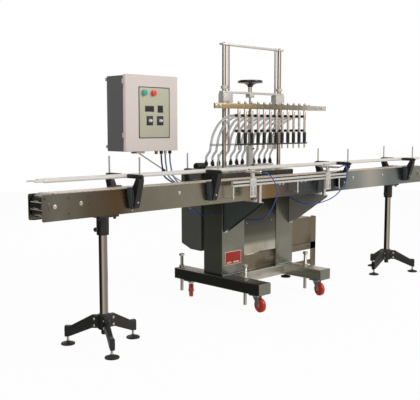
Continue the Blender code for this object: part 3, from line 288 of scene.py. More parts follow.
def inset(outline, amount):
    """An outline drawn in by an amount, each corner along the sum of its two edges' inward normals."""
    outline = np.asarray(outline, float)
    edges = np.roll(outline, -1, axis=0) - outline
    area = np.sum(outline[:, 0] * np.roll(outline[:, 1], -1) - outline[:, 1] * np.roll(outline[:, 0], -1))
    normals = np.stack([-edges[:, 1], edges[:, 0]], -1) / np.linalg.norm(edges, axis=1)[:, None]
    normals *= np.sign(area)
    before = np.roll(normals, 1, axis=0)
    miter = (normals + before) / (1 + np.sum(normals * before, axis=1))[:, None]
    return outline + amount * miter


def plate(outline, low, high, axis="y", edge=0.0006):
    """A flat outline given thickness along an axis, its two rims drawn in by a small chamfer."""
    outline = np.asarray(outline, float)
    small = inset(outline, edge)
    levels = [(low, small), (low + edge, outline), (high - edge, outline), (high, small)]
    order = {"x": (2, 0, 1), "y": (0, 2, 1), "z": (0, 1, 2)}[axis]
    rings = np.stack([np.column_stack([shape, np.full(len(shape), level)]) for level, shape in levels])
    return rings[:, :, order]


def swept(points, section, up=(1, 0, 0)):
    """A closed section carried along a line of points. up fixes the turn: side = along x up."""
    points = np.asarray(points, float)
    along = np.gradient(points, axis=0)
    along /= np.linalg.norm(along, axis=1)[:, None]
    side = np.cross(along, np.asarray(up, float))
    side /= np.linalg.norm(side, axis=1)[:, None]
    over = np.cross(side, along)
    section = np.asarray(section, float)
    return (points[:, None] + section[None, :, :1] * side[:, None] + section[None, :, 1:] * over[:, None])


def circle(radius, sides=12):
    """Points of a circle, for use as a section."""
    u = np.arange(sides) * 2 * pi / sides
    return radius * np.stack([np.cos(u), np.sin(u)], -1)


def rounded(points, steps=8):
    """A smooth line through points by Catmull-Rom spans, with both end spans left straight."""
    points = np.asarray(points, float)
    line = points[1:-1]
    line = np.vstack([2 * line[0] - line[1], line, 2 * line[-1] - line[-2]])
    a, b, c, d = line[:-3, None], line[1:-2, None], line[2:-1, None], line[3:, None]
    t = (np.arange(steps) / steps)[None, :, None]
    spans = 0.5 * (2 * b + (c - a) * t + (2 * a - 5 * b + 4 * c - d) * t ** 2
                   + (3 * b - a - 3 * c + d) * t ** 3)
    return np.vstack([points[:1], spans.reshape(-1, 3), line[-2:-1], points[-1:]])


def bolt(centre, axis, radius, height, washer=0.0, sides=6):
    """A hexagon bolt head with a chamfered crown, on a washer if one is asked for."""
    skins = [turned([(washer, radius), (washer + height * 0.8, radius), (washer + height, radius * 0.82)],
                    centre, axis, sides)]
    if washer:
        skins.append(turned([(0, radius * 1.35), (washer * 0.8, radius * 1.35), (washer, radius * 1.25)],
                            centre, axis, 20))
    return skins


def round_head(centre, axis, radius, height):
    """A round-headed screw: a quarter ellipse turned about its axis."""
    v = np.linspace(0, pi / 2, 5)
    profile = np.stack([height * np.sin(v), radius * np.cos(v)], -1)
    return turned(profile, centre, axis, 14)


print("shape functions ready")

# %% [markdown]
# ## Finishes
#
# Every finish starts from the real stuff: the sheet is cold-rolled stainless with a brushed
# grain, the posts are ground bar, the stands are moulded nylon. Patterns read Object
# coordinates, which are metres here, so a scale of 1000 / size gives features of that many
# millimetres.

# %% A metal with a grain, and a moulded or coated surface
def metal(name, tone, roughness, grain=(1, 1, 1), spread=0.10, bump=0.04, darker=None):
    """Metal with streaks. grain gives the pattern's frequency along X, Y and Z, so a small number
    runs the streaks along that axis. Streaks vary the roughness and the surface, and slow clouds vary the
    tone."""
    made = bpy.data.materials.new(name)
    made.use_nodes = True
    tree = made.node_tree
    shader = tree.nodes["Principled BSDF"]
    shader.inputs["Metallic"].default_value = 1.0
    place = add(tree, "ShaderNodeTexCoord")
    stretch = add(tree, "ShaderNodeMapping", {"Scale": grain}, Vector=place.outputs["Object"])
    streaks = add(tree, "ShaderNodeTexNoise", {"Scale": 1.0, "Detail": 4.0, "Roughness": 0.6},
                  Vector=stretch.outputs[0])
    clouds = add(tree, "ShaderNodeTexNoise", {"Scale": 7.0, "Detail": 3.0}, Vector=place.outputs["Object"])
    tones = add(tree, "ShaderNodeMix", {"data_type": "RGBA", "blend_type": "MIX"})
    tones.inputs[6].default_value = colour(darker or tone)
    tones.inputs[7].default_value = colour(tone)
    tree.links.new(clouds.outputs["Fac"], tones.inputs[0])
    tree.links.new(tones.outputs[2], shader.inputs["Base Color"])
    dull = add(tree, "ShaderNodeMapRange", {"From Min": 0.3, "From Max": 0.7,
                                            "To Min": roughness - spread / 2,
                                            "To Max": roughness + spread / 2}, Value=streaks.outputs["Fac"])
    tree.links.new(dull.outputs[0], shader.inputs["Roughness"])
    relief = add(tree, "ShaderNodeBump", {"Strength": bump, "Distance": 0.0005},
                 Height=streaks.outputs["Fac"])
    tree.links.new(relief.outputs[0], shader.inputs["Normal"])
    return made


def coated(name, tone, roughness, size_mm=1.2, bump=0.08, second=None, coat=0.0, metallic=0.0):
    """A paint, rubber or moulded plastic: a fine even relief, and a slow drift between two tones."""
    made = bpy.data.materials.new(name)
    made.use_nodes = True
    tree = made.node_tree
    shader = tree.nodes["Principled BSDF"]
    shader.inputs["Metallic"].default_value = metallic
    shader.inputs["Coat Weight"].default_value = coat
    place = add(tree, "ShaderNodeTexCoord")
    fine = add(tree, "ShaderNodeTexNoise", {"Scale": 1000 / size_mm / 2, "Detail": 2.0},
               Vector=place.outputs["Object"])
    drift = add(tree, "ShaderNodeTexNoise", {"Scale": 12.0, "Detail": 4.0, "Roughness": 0.65},
                Vector=place.outputs["Object"])
    tones = add(tree, "ShaderNodeMix", {"data_type": "RGBA"})
    tones.inputs[6].default_value = colour(second or tone)
    tones.inputs[7].default_value = colour(tone)
    tree.links.new(drift.outputs["Fac"], tones.inputs[0])
    tree.links.new(tones.outputs[2], shader.inputs["Base Color"])
    dull = add(tree, "ShaderNodeMapRange", {"To Min": roughness - 0.06, "To Max": roughness + 0.06},
               Value=drift.outputs["Fac"])
    tree.links.new(dull.outputs[0], shader.inputs["Roughness"])
    relief = add(tree, "ShaderNodeBump", {"Strength": bump, "Distance": 0.0003}, Height=fine.outputs["Fac"])
    tree.links.new(relief.outputs[0], shader.inputs["Normal"])
    return made


def paint_light_along(made, low, high, tones, axis="X", by="Object"):
    """Paints light and shade into a finish's tone along an axis of place or normal: tones are (share, hex)
    pairs.
    """
    tree = made.node_tree
    place = add(tree, "ShaderNodeTexCoord")
    split = add(tree, "ShaderNodeSeparateXYZ", Vector=place.outputs[by])
    share = add(tree, "ShaderNodeMapRange", {"From Min": low, "From Max": high}, Value=split.outputs[axis])
    ramp = add(tree, "ShaderNodeValToRGB", Fac=share.outputs[0])
    ramp.color_ramp.interpolation = "EASE"
    ramp.color_ramp.elements.remove(ramp.color_ramp.elements[1])
    ramp.color_ramp.elements[0].position = tones[0][0]
    ramp.color_ramp.elements[0].color = colour(tones[0][1])
    for where, hex_code in tones[1:]:
        ramp.color_ramp.elements.new(where).color = colour(hex_code)
    old = next(link.from_socket for link in tree.links if link.to_socket.name == "Base Color")
    both = add(tree, "ShaderNodeMix", {"data_type": "RGBA", "blend_type": "MULTIPLY", 0: 1.0})
    tree.links.new(ramp.outputs["Color"], both.inputs[6])
    tree.links.new(old, both.inputs[7])
    tree.links.new(both.outputs[2], tree.nodes["Principled BSDF"].inputs["Base Color"])
    return made


# %% Metals
# Brushed sheet: streaks 2 mm apart, drawn coarser than the real 0.2 mm grit so that they show.
# The columns and the panel carry a painted reflection and painted shade of the conveyor above them, darker
# towards the top, and the panel's foot a painted highlight.
upright_sheet_painted_reflection = paint_light_along(
    metal("brushed_stainless_upright_painted_reflection", "#C4C4BE", 0.28, grain=(420, 420, 7), darker="#ADADA7"), 0.20, 0.94,
    [(0.00, "#B9BBB6"), (0.22, "#C0C1BB"), (0.36, "#B3B4AD"), (0.56, "#A6A69F"), (0.68, "#8A8A84"),
     (0.80, "#676862"), (1.00, "#70716D")], "Z")
panel_sheet_painted_reflection = paint_light_along(
    metal("brushed_stainless_panel_painted_reflection", "#D8D6CF", 0.26, grain=(420, 420, 7), darker="#BEBCB5"), 0.20, 0.94,
    [(0.00, "#FFFFFF"), (0.16, "#FFFFFF"), (0.24, "#EFEDE8"), (0.30, "#9B9B94"), (0.40, "#6F706A"),
     (0.54, "#5A5B56"), (0.66, "#474842"), (0.80, "#3A3B36"), (1.00, "#5E5F5A")], "Z")
long_sheet = metal("brushed_stainless_along", "#847C6D", 0.27, grain=(5, 420, 420), darker="#706859")
# The side plates carry painted reflections of the hall in slow bands along their length: warm and dark at the
# infeed, bluish past the middle.
plate_sheet_painted_reflection = paint_light_along(
    metal("brushed_stainless_side_plate_painted_reflection", "#D2CDC4", 0.27, grain=(5, 420, 420), darker="#B9B4AA"), -2.0, 2.0,
    [(0.00, "#8A8884"), (0.02, "#9A9A96"), (0.05, "#8A8883"), (0.08, "#7B746A"), (0.12, "#7A6750"),
     (0.17, "#A2A199"), (0.25, "#AFAFA7"), (0.36, "#BBB9AF"), (0.42, "#BCAE99"), (0.46, "#A38B68"),
     (0.50, "#7A757A"), (0.56, "#666F78"), (0.65, "#626A72"), (0.72, "#B9C3CB"), (0.78, "#E4E8EC"),
     (0.86, "#9AA6AF"), (1.00, "#A9AEB2")])
# The cross tubes carry a painted reflection along X: dark at the left tube, white at the right one.
base_tube_painted_reflection = paint_light_along(
    metal("brushed_stainless_tube_painted_reflection", "#D8D8D3", 0.30, grain=(420, 7, 420), darker="#BDBDB7"), -0.42, 0.42,
    [(0.00, "#6A6B66"), (0.24, "#7C7D77"), (0.50, "#FFFFFF"), (1.00, "#F2EEE6")])
# Nozzle bar: ground flat bar with a painted reflection of a yellowish hall along its length, and broad soft
# streaks.
nozzle_bar_painted_reflection = paint_light_along(
    metal("ground_nozzle_bar_painted_reflection", "#F2EEE6", 0.26, grain=(6, 300, 300), darker="#DCD6CB"), -0.654, 0.564,
    [(0.00, "#CDBE9C"), (0.22, "#B5A98D"), (0.45, "#8F897C"), (0.70, "#A09C94"), (0.86, "#DADAD8"),
     (1.00, "#F4F4F3")])
bar_steel = metal("ground_flat_bar", "#B9AF98", 0.24, grain=(6, 300, 300), darker="#A3987D")
# Drawn tube: nearly a mirror, with a painted reflection that is bright on one side and dark on the other, set
# by the way the surface faces.
pole_steel_painted_reflection = paint_light_along(
    metal("drawn_stainless_tube_painted_reflection", "#D0C8C2", 0.12, grain=(30, 30, 30), spread=0.03, bump=0.0,
          darker="#C4BCB6"), -1.0, 1.0,
    [(0.00, "#B5B0AC"), (0.12, "#F2EFEC"), (0.22, "#E2DEDA"), (0.40, "#5A5956"), (0.60, "#33332F"),
     (1.00, "#2E2E2B")],
    "Y", "Normal")
# Upright rods: a painted reflection, bright on one side and dark along the other, set by the way the surface
# faces.
post_steel_painted_reflection = paint_light_along(
    metal("ground_round_bar_painted_reflection", "#D6CBC2", 0.14, grain=(30, 30, 30), spread=0.02, bump=0.0, darker="#CFC4BB"),
    -1.0, 1.0,
    [(0.00, "#C9BDB3"), (0.12, "#F4F0EC"), (0.24, "#FFFFFF"), (0.36, "#8F7F73"), (0.50, "#5B4E45"),
     (0.60, "#3A332E"), (1.00, "#2E2A26")], "Y", "Normal")
nozzle_steel = metal("turned_stainless", "#E4DAD4", 0.20, grain=(30, 30, 60), spread=0.04, bump=0.0,
                     darker="#C9B9B0")
bolt_steel = metal("stainless_fastener", "#C6C2BA", 0.22, grain=(120, 120, 120), bump=0.02)
screw_steel = metal("dark_threaded_steel", "#3A3936", 0.35, grain=(60, 60, 600), bump=0.05)
zinc = metal("bright_zinc_plate", "#C3D0DA", 0.30, grain=(90, 90, 90), bump=0.03, darker="#AAB9C5")
# Machined aluminium: even, pale and slightly milky.
cast_aluminium = metal("machined_aluminium", "#E6E4E1", 0.40, grain=(160, 160, 160), bump=0.03,
                       darker="#D5D2CD")
brass = metal("turned_brass", "#B98A3C", 0.25, grain=(90, 90, 90), bump=0.02, darker="#9A6F2A")

# %% Plastics, rubbers and paints
# Satin parts: bead-blasted aluminium blocks and gusset sheet, which mirror little of the hall.
satin_block = coated("bead_blasted_aluminium", "#D3D1CD", 0.36, size_mm=1.6, bump=0.03,
                     second="#C8C5C0", metallic=0.45)
# The gusset sheet carries painted light along X: painted shade on the left gusset, a painted highlight on the
# right one.
gusset_sheet_painted_light = paint_light_along(
    coated("blasted_stainless_sheet_painted_light", "#B7B8B4", 0.34, size_mm=1.4, bump=0.03, second="#A5A6A2",
           metallic=0.6), -0.36, 0.46,
    [(0.00, "#7E8886"), (0.35, "#747C7A"), (0.65, "#F0EBE4"), (1.00, "#FFFCF6")])
slate_nylon = coated("slate_moulded_nylon", "#3B4248", 0.45, size_mm=1.6, second="#32383D")
black_nylon = coated("moulded_black_nylon", "#0B0C0D", 0.42, size_mm=1.6, second="#121415")
black_rubber = coated("black_rubber", "#141414", 0.62, size_mm=1.0, second="#1C1B1A")
bakelite = coated("black_phenolic", "#0E0E0F", 0.22, size_mm=3.0, bump=0.02, coat=0.4)
tyre_red = coated("red_polyurethane", "#BE2E12", 0.34, size_mm=2.0, second="#A32208", coat=0.15)
hub_red = coated("red_wheel_core", "#B8371F", 0.45, size_mm=2.0, second="#A12D17")
acetal = coated("beige_acetal", "#CDBDB1", 0.42, size_mm=1.4, second="#C2B0A3")
white_plastic = coated("white_moulding", "#F1EFEA", 0.32, size_mm=1.6, second="#E7E4DD")
rail_white = coated("white_polyethylene", "#D9D7D2", 0.40, size_mm=1.6, second="#CFCCC6")
door_beige = coated("beige_powder_coat", "#D9CFCA", 0.48, size_mm=1.0, bump=0.14, second="#D3C8C2")
box_grey = coated("grey_powder_coat", "#646464", 0.55, size_mm=1.0, bump=0.14, second="#5C5C5D")
panel_olive = coated("olive_grey_panel_film", "#B9B8A2", 0.40, size_mm=0.8, bump=0.03, second="#B2B19A")
dark_paint = coated("dark_grey_enamel", "#50534C", 0.40, size_mm=1.8, second="#474A44")
plate_red = coated("red_enamel", "#A31408", 0.34, size_mm=2.5, bump=0.03, second="#940F05")
plate_pale = coated("bare_plate_border", "#D8BDA6", 0.35, size_mm=1.5, second="#CBAA90")
teal_cap = coated("teal_button_cap", "#2FA79C", 0.25, size_mm=3.0, bump=0.02, second="#279488", coat=0.3)
red_cap = coated("orange_red_button_cap", "#E8452A", 0.25, size_mm=3.0, bump=0.02, second="#DB3B21", coat=0.3)
blue_tube = coated("blue_polyurethane_hose", "#1B47A6", 0.26, size_mm=3.0, bump=0.02,
                   second="#153A8E", coat=0.3)
grey_blue_cable = coated("grey_blue_cable", "#7C8AA8", 0.40, size_mm=2.0, second="#6F7D9B")
black_cable = coated("black_cable_sheath", "#191A1C", 0.45, size_mm=2.0, second="#222326")
dark_glass = coated("dark_display_window", "#17151A", 0.12, size_mm=4.0, bump=0.0, second="#1D1A20")
knob_plate = coated("dark_blue_dial_plate", "#141B2B", 0.30, size_mm=3.0, bump=0.02, second="#1A2233")


def clear_plastic(name, tint, roughness, transmission):
    """A see-through plastic: part of the light goes through, and slow clouds vary its milkiness."""
    made = coated(name, tint, roughness, size_mm=4.0, bump=0.01)
    made.node_tree.nodes["Principled BSDF"].inputs["Transmission Weight"].default_value = transmission
    return made


# PVC hose: pale, a little milky, with bright edges where the wall is seen along its thickness.
clear_hose = clear_plastic("clear_pvc_hose", "#DFE0DE", 0.20, 0.60)
# Most finishes are listed once here under a material slot name, and a piece names a slot only
# where it differs, an empty name standing for none. piece() works out the slot but does not use it.
usual_slots = {
    "stainless_sheet": (upright_sheet_painted_reflection, panel_sheet_painted_reflection, long_sheet, plate_sheet_painted_reflection, base_tube_painted_reflection,
                        nozzle_bar_painted_reflection, bar_steel, bolt_steel, gusset_sheet_painted_light),
    "aluminium": (cast_aluminium, satin_block),
    "black_plastic": (slate_nylon, black_nylon, bakelite, dark_glass, knob_plate),
    "plate_red": (plate_red,),
    "slat_plastic": (acetal,),
    "dark_steel": (screw_steel,),
    "bright_steel": (pole_steel_painted_reflection, post_steel_painted_reflection),
    "clear_hose": (clear_hose,),
    "box_grey": (box_grey,),
    "box_beige": (door_beige, panel_olive),
    "nozzle_steel": (nozzle_steel,),
}
slot_of = {finish.name: slot for slot, finishes in usual_slots.items() for finish in finishes}
print("materials:", len(bpy.data.materials))

# %% [markdown]
# Some pieces inside the machine keep the engineering model's own surface: the pump cylinders,
# the pistons and the shafts. They get the metal they are made of.

# %% Finishes for the pieces that stay
def repaint(node_name, finish):
    """Gives an engineering piece its finish."""
    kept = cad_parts[node_name]
    kept.data.materials.clear()
    kept.data.materials.append(finish)


for name in ("cylinder_bank", "piston_crosshead", "drive_shaft", "tail_shaft", "gate_pin_left",
             "gate_pin_right"):
    repaint(name, nozzle_steel)

# %% [markdown]
# ## The base
#
# Two cross tubes of brushed stainless are closed by bent end caps with rounded corners, and
# a shallow centre beam joins them. Jack bolts go right through the tubes: a hexagon head and
# a lock nut above, a bare shank below.

# %% Cross tubes and beam
base_low, base_high = (np.array(corner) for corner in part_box("base_frame"))
tube_x = (-0.328, 0.370)
tube_width = 0.122
tube_bottom, tube_top = 0.120, 0.200
tube_front, tube_rear = float(base_low[1]), float(base_high[1])
beam = (-0.035, 0.180)
wall = 0.004
skins = []
for x in tube_x:
    skins.append(block((x - tube_width / 2, x + tube_width / 2), (tube_front + 0.003, tube_rear - 0.001),
                       (tube_bottom, tube_top), 0.007, 4))
skins.append(block((tube_x[0] + tube_width / 2 - 0.002, tube_x[1] - tube_width / 2 + 0.002), beam,
                   (tube_bottom + 0.0015, tube_top - 0.0015), 0.005))
piece("base_tubes", skins, base_tube_painted_reflection, stands_for=("base_frame",))

cap = []
for x in tube_x:
    for y, outward in ((tube_front, 1), (tube_rear, -1)):
        span = sorted((y, y + outward * 0.010))
        cap.append(block((x - tube_width / 2 - 0.0004, x + tube_width / 2 + 0.0004), span,
                         (tube_bottom - 0.0004, tube_top + 0.0004), 0.0075, 5))
piece("base_end_caps", cap, upright_sheet_painted_reflection)
print("base tubes from y", round(tube_front, 3), "to", round(tube_rear, 3))

# %% Jack bolts, caster plates and the middle foot
jacks = ((-0.328, -0.205), (-0.340, 0.438), (0.384, -0.187), (0.384, 0.438))
shank, jack_top, jack_foot = 0.0125, 0.310, 0.020
threads = []
heads = []
for x, y in jacks:
    # A thread of 2.5 mm pitch is drawn as rings: the radius swings by half a millimetre.
    upper = np.arange(tube_top + 0.02, jack_top - 0.014, 0.00125)
    profile = [(z, shank - 0.0007 * (k % 2)) for k, z in enumerate(upper)]
    threads.append(turned(profile, (x, y, 0), sides=18))
    threads.append(bar((x, y, jack_foot), (x, y, tube_bottom + 0.001), shank, 0.002))
    heads += bolt((x, y, jack_top - 0.018), (0, 0, 1), 0.0208, 0.0178)
    heads += bolt((x, y, tube_top), (0, 0, 1), 0.0208, 0.020, washer=0.0025)
    threads.append(turned([(-0.010, 0.017), (-0.008, 0.019), (0.001, 0.019)], (x, y, tube_bottom), sides=20))
piece("jack_bolt_shanks", threads, bolt_steel)
piece("jack_bolt_heads", heads, bolt_steel, crease=25)

casters = ((-0.346, -0.330, 262), (0.348, -0.325, 255), (-0.346, 0.328, 225), (0.348, 0.328, 235))
plates = []
for x, y, _ in casters:
    plates.append(block((x - 0.042, x + 0.042), (y - 0.042, y + 0.042), (0.114, tube_bottom), 0.0012))
    for dx in (-0.032, 0.032):
        for dy in (-0.032, 0.032):
            plates += bolt((x + dx, y + dy, 0.1142), (0, 0, -1), 0.0055, 0.0035)
piece("caster_plates", plates, zinc, slot="zinc_plated")

foot_x, foot_y = tube_x[1], -0.007
foot_profile = [(0.0, 0.037), (0.0015, 0.039), (0.009, 0.039), (0.012, 0.036), (0.0165, 0.020),
                (0.020, 0.012), (0.021, 0.010)]
piece("middle_foot", [turned(foot_profile, (foot_x, foot_y, 0.084))], black_rubber, slot="black_plastic")
piece("middle_foot_stem", [bar((foot_x, foot_y, 0.103), (foot_x, foot_y, tube_bottom + 0.001), 0.008)]
      + bolt((foot_x, foot_y, 0.110), (0, 0, 1), 0.013, 0.008), bolt_steel, slot="")
print("jack bolts:", len(jacks), "caster plates:", len(casters))

# %% [markdown]
# A swivel caster has a zinc-plated fork, pressed from sheet and open at its sides, under a
# ball race, and a red wheel on a plated axle. The fork turns under the base and the wheel
# turns in the fork, so the pieces ride on two bodies.

# %% Casters
def caster(number, x, y, degrees):
    """Fork, race, axle and wheel of one caster, laid out along its heading."""
    turn = np.array([[cos(radians(degrees)), -sin(radians(degrees)), 0],
                     [sin(radians(degrees)), cos(radians(degrees)), 0], [0, 0, 1]])
    place = lambda rings: np.asarray(rings) @ turn.T + (x, y, 0)
    wheel_radius, half, trail = 0.050, 0.015, 0.035
    crown = 0.1134
    fork = f"caster_fork_{number}"
    arc = np.linspace(pi, 2 * pi, 9)
    eye = np.stack([trail + 0.013 * np.cos(arc), wheel_radius + 0.013 * np.sin(arc)], -1)
    leg = np.vstack([[(-0.024, crown - 0.003), (-0.020, crown - 0.016)], eye, [(0.030, crown - 0.020),
                                                                             (0.033, crown - 0.003)]])
    skins = [plate(leg, -half - 0.0042, -half - 0.0016), plate(leg, half + 0.0016, half + 0.0042)]
    skins.append(block((-0.027, 0.033), (-half - 0.0042, half + 0.0042), (0.1034, 0.1062), 0.001))
    skins.append(turned([(0, 0.026), (0.003, 0.029), (0.006, 0.027)], (0, 0, 0.1062), sides=28))
    skins += bolt((trail, -half - 0.0042, wheel_radius), (0, -1, 0), 0.0085, 0.0038)
    skins += bolt((trail, half + 0.0042, wheel_radius), (0, 1, 0), 0.0085, 0.0038)
    skins.append(bar((trail, -half - 0.004, wheel_radius), (trail, half + 0.004, wheel_radius), 0.005))
    piece(f"caster_{number}_fork", [place(s) for s in skins], zinc, fork, (fork,), "zinc_plated")

    # The tyre's tread is slightly crowned, and its shoulders are rounded.
    tread = [(-half, 0.034), (-half, 0.043)] + [(-half + 0.001, 0.0462), (-half + 0.003, 0.0485),
             (-half + 0.006, 0.0497), (0, 0.050), (half - 0.006, 0.0497), (half - 0.003, 0.0485),
             (half - 0.001, 0.0462), (half, 0.043), (half, 0.034)]
    core = [(-half + 0.001, 0.0345), (-half + 0.004, 0.031), (-half + 0.004, 0.016), (-half, 0.013),
            (-half, 0.006), (half, 0.006), (half, 0.013), (half - 0.004, 0.016), (half - 0.004, 0.031),
            (half - 0.001, 0.0345)]
    wheel = f"caster_wheel_{number}"
    centre = (trail, 0, wheel_radius)
    piece(f"caster_{number}_tyre", [place(turned(tread, centre, (0, 1, 0), 48))], tyre_red, wheel, (wheel,),
          "red_tyre")
    piece(f"caster_{number}_core", [place(turned(core, centre, (0, 1, 0), 40))], hub_red, wheel)


for number, (x, y, degrees) in enumerate(casters, 1):
    caster(number, x, y, degrees)
print("casters:", len(casters))

# %% [markdown]
# ## The cabinet
#
# Two welded columns of brushed sheet stand on the tubes, with a panel and a deck between
# them. The brushed grain runs upright. Sheet-metal edges are bent to about 2 mm, so every
# block has rounded edges that catch a thin line of light. The front panel lies 3 mm behind
# the columns, with a seam above the skirt, and the skirt bulges a little under its weld.

# %% Columns, panel, deck and skirt
cabinet_left, cabinet_right = -0.361, 0.445
left_width, right_width = 0.237, 0.203
front, rear = -0.010, 0.177
deck_top = 0.942
panel_bottom = 0.330
column_left = (cabinet_left, cabinet_left + left_width)
column_right = (cabinet_right - right_width, cabinet_right)
skins = [block(column_left, (front, rear), (tube_top + 0.0003, deck_top - 0.006), 0.0025),
         block(column_right, (front, rear), (tube_top + 0.0003, deck_top - 0.006), 0.0025)]
piece("cabinet_columns", skins, upright_sheet_painted_reflection, stands_for=("cabinet",))
seam = 0.0012
panel = [block((column_left[1] + seam, column_right[0] - seam), (front + 0.003, rear - 0.002),
               (panel_bottom, deck_top - 0.006), 0.0015)]
piece("cabinet_panel", panel, panel_sheet_painted_reflection)
deck = [block((cabinet_left, cabinet_right), (front, rear), (deck_top - 0.006, deck_top), 0.0025)]
piece("cabinet_deck", deck, long_sheet)

# The skirt's face swells by 4 mm in the middle of its height: depth = 4 mm * sin(pi * height)^1.5.
height = np.linspace(0, 1, 13)
swell = 0.004 * np.sin(pi * height) ** 1.5
profile = np.column_stack([front + 0.006 - swell,
                           tube_top - 0.002 + height * (panel_bottom - tube_top - 0.001)])
outline = np.vstack([profile, [(front + 0.012, panel_bottom - 0.003), (front + 0.012, tube_top - 0.002)]])
skirt = plate(outline, column_left[1] + 0.001, column_right[0] - 0.001, "x", 0.0003)
piece("cabinet_skirt", [skirt], long_sheet, crease=60)

# Weld bead where the columns stand on the tubes, and small screws on the panel.
screws = []
for x, z in ((-0.095, 0.352), (0.190, 0.352), (-0.095, 0.560), (0.190, 0.560), (0.058, 0.700)):
    screws.append(round_head((x, front + 0.003, z), (0, -1, 0), 0.0045, 0.0028))
for x, z in ((-0.340, 0.290), (-0.340, 0.740), (0.425, 0.480)):
    screws.append(round_head((x, front, z), (0, -1, 0), 0.0040, 0.0024))
piece("cabinet_screws", screws, bolt_steel)
beads = []
for low, high in (column_left, column_right):
    run = np.linspace(low + 0.004, high - 0.004, 60)
    ripple = 0.0026 + 0.0004 * np.sin(np.arange(60) * 1.9)
    u = np.arange(8) * 2 * pi / 8
    bead = np.stack([np.repeat(run[:, None], 8, 1), front + ripple[:, None] * np.cos(u),
                     tube_top + 0.0015 + ripple[:, None] * np.sin(u)], -1)
    beads.append(bead)
piece("column_welds", beads, zinc, slot="stainless_sheet", crease=80)
print("cabinet height", round(deck_top - tube_top, 3))

# %% [markdown]
# The conveyor rests on two gussets. Each is a channel bent from sheet: two sloping cheeks, a
# flat top, and a back flange that is bolted to the cabinet.

# %% Gussets
gusset_front, gusset_top, gusset_bottom = -0.345, 0.757, 0.516
gusset_x = (-0.322, 0.420)
cheeks, flanges, bolts = [], [], []
for x in gusset_x:
    half = 0.023
    slope = [(front - 0.0005, gusset_bottom), (front - 0.0005, gusset_top), (gusset_front, gusset_top),
             (gusset_front, gusset_top - 0.014)]
    cheeks.append(plate(slope, x - half, x - half + 0.003, "x"))
    cheeks.append(plate(slope, x + half - 0.003, x + half, "x"))
    flanges.append(block((x - half, x + half), (gusset_front, front - 0.0005),
                         (gusset_top - 0.0035, gusset_top), 0.001))
    flanges.append(block((x - half + 0.002, x + half - 0.002), (-0.290, -0.153), (gusset_top, 0.7725), 0.001))
    flanges.append(block((x - half, x + half), (front - 0.0042, front - 0.0004),
                         (gusset_bottom, gusset_top - 0.004), 0.0012))
    for z in (gusset_bottom + 0.028, gusset_bottom + 0.058):
        bolts += bolt((x, front - 0.004, z), (0, -1, 0), 0.007, 0.005, washer=0.0015)
    for y in (-0.315, -0.140):
        bolts += bolt((x, y, gusset_top), (0, 0, 1), 0.007, 0.005, washer=0.0015)
piece("gusset_cheeks", cheeks, gusset_sheet_painted_light)
piece("gusset_flanges", flanges, satin_block, slot="stainless_sheet")
piece("gusset_bolts", bolts, bolt_steel)
print("gussets reach forward", round(front - gusset_front, 3))

# %% [markdown]
# A thin round brace leaves the cabinet's left side and carries the control box. It ends in a
# welded foot on the column and a bolted shoe under the box, with a dark joint on the way.

# %% Brace of the control box
box_bottom = 1.112
brace_top = np.array((-0.984, 0.165, box_bottom - 0.012))
brace_end = np.array((cabinet_left + 0.001, 0.105, 0.735))
along = (brace_end - brace_top) / np.linalg.norm(brace_end - brace_top)
skins = [bar(brace_top, brace_end, 0.0048)]
piece("box_brace", skins, bolt_steel)
joint_place = brace_top + (brace_end - brace_top) * 0.33
piece("brace_joint", [turned([(-0.013, 0.0055), (-0.011, 0.0080), (0.011, 0.0080), (0.013, 0.0055)],
                             joint_place, along)], black_nylon)
shoe = [block((-1.019, -0.949), (0.135, 0.195), (box_bottom - 0.016, box_bottom - 0.0004), 0.002)]
shoe.append(turned([(0, 0.028), (0.010, 0.028), (0.012, 0.024)], (cabinet_left, 0.105, 0.741), (-1, 0, 0)))
for dx in (-0.024, 0.024):
    shoe += bolt((-0.984 + dx, 0.183, box_bottom - 0.016), (0, 0, -1), 0.006, 0.004)
piece("brace_shoe", shoe, bolt_steel)

# %% [markdown]
# The plate on the left column is thin red enamel in a bare raised border, with two pale
# blank fields. It stays without any words.

# %% Red plate
plate_low, plate_high = (np.array(corner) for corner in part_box("name_plate"))
face_y = float(plate_low[1])
border = 0.006
skins = [block((plate_low[0], plate_high[0]), (face_y, face_y + 0.0021),
               (plate_low[2], plate_high[2]), 0.0012)]
piece("plate_border", skins, plate_pale, stands_for=("name_plate",), slot="plate_red")
skins = [block((plate_low[0] + border, plate_high[0] - border), (face_y - 0.0002, face_y + 0.001),
               (plate_low[2] + border, plate_high[2] - border), 0.0008)]
piece("plate_enamel", skins, plate_red)
blanks = [block((plate_low[0] + a, plate_low[0] + b), (face_y - 0.0007, face_y + 0.0006),
                (plate_low[2] + 0.012, plate_low[2] + 0.024), 0.0003)
          for a, b in ((0.020, 0.066), (0.086, 0.150))]
piece("plate_blank_fields", blanks, plate_pale, slot="plate_red")
print("plate", np.round(plate_high - plate_low, 3).tolist())

# %% [markdown]
# A small sheet box with the air filter sits right of the cabinet on a frame of angle steel.

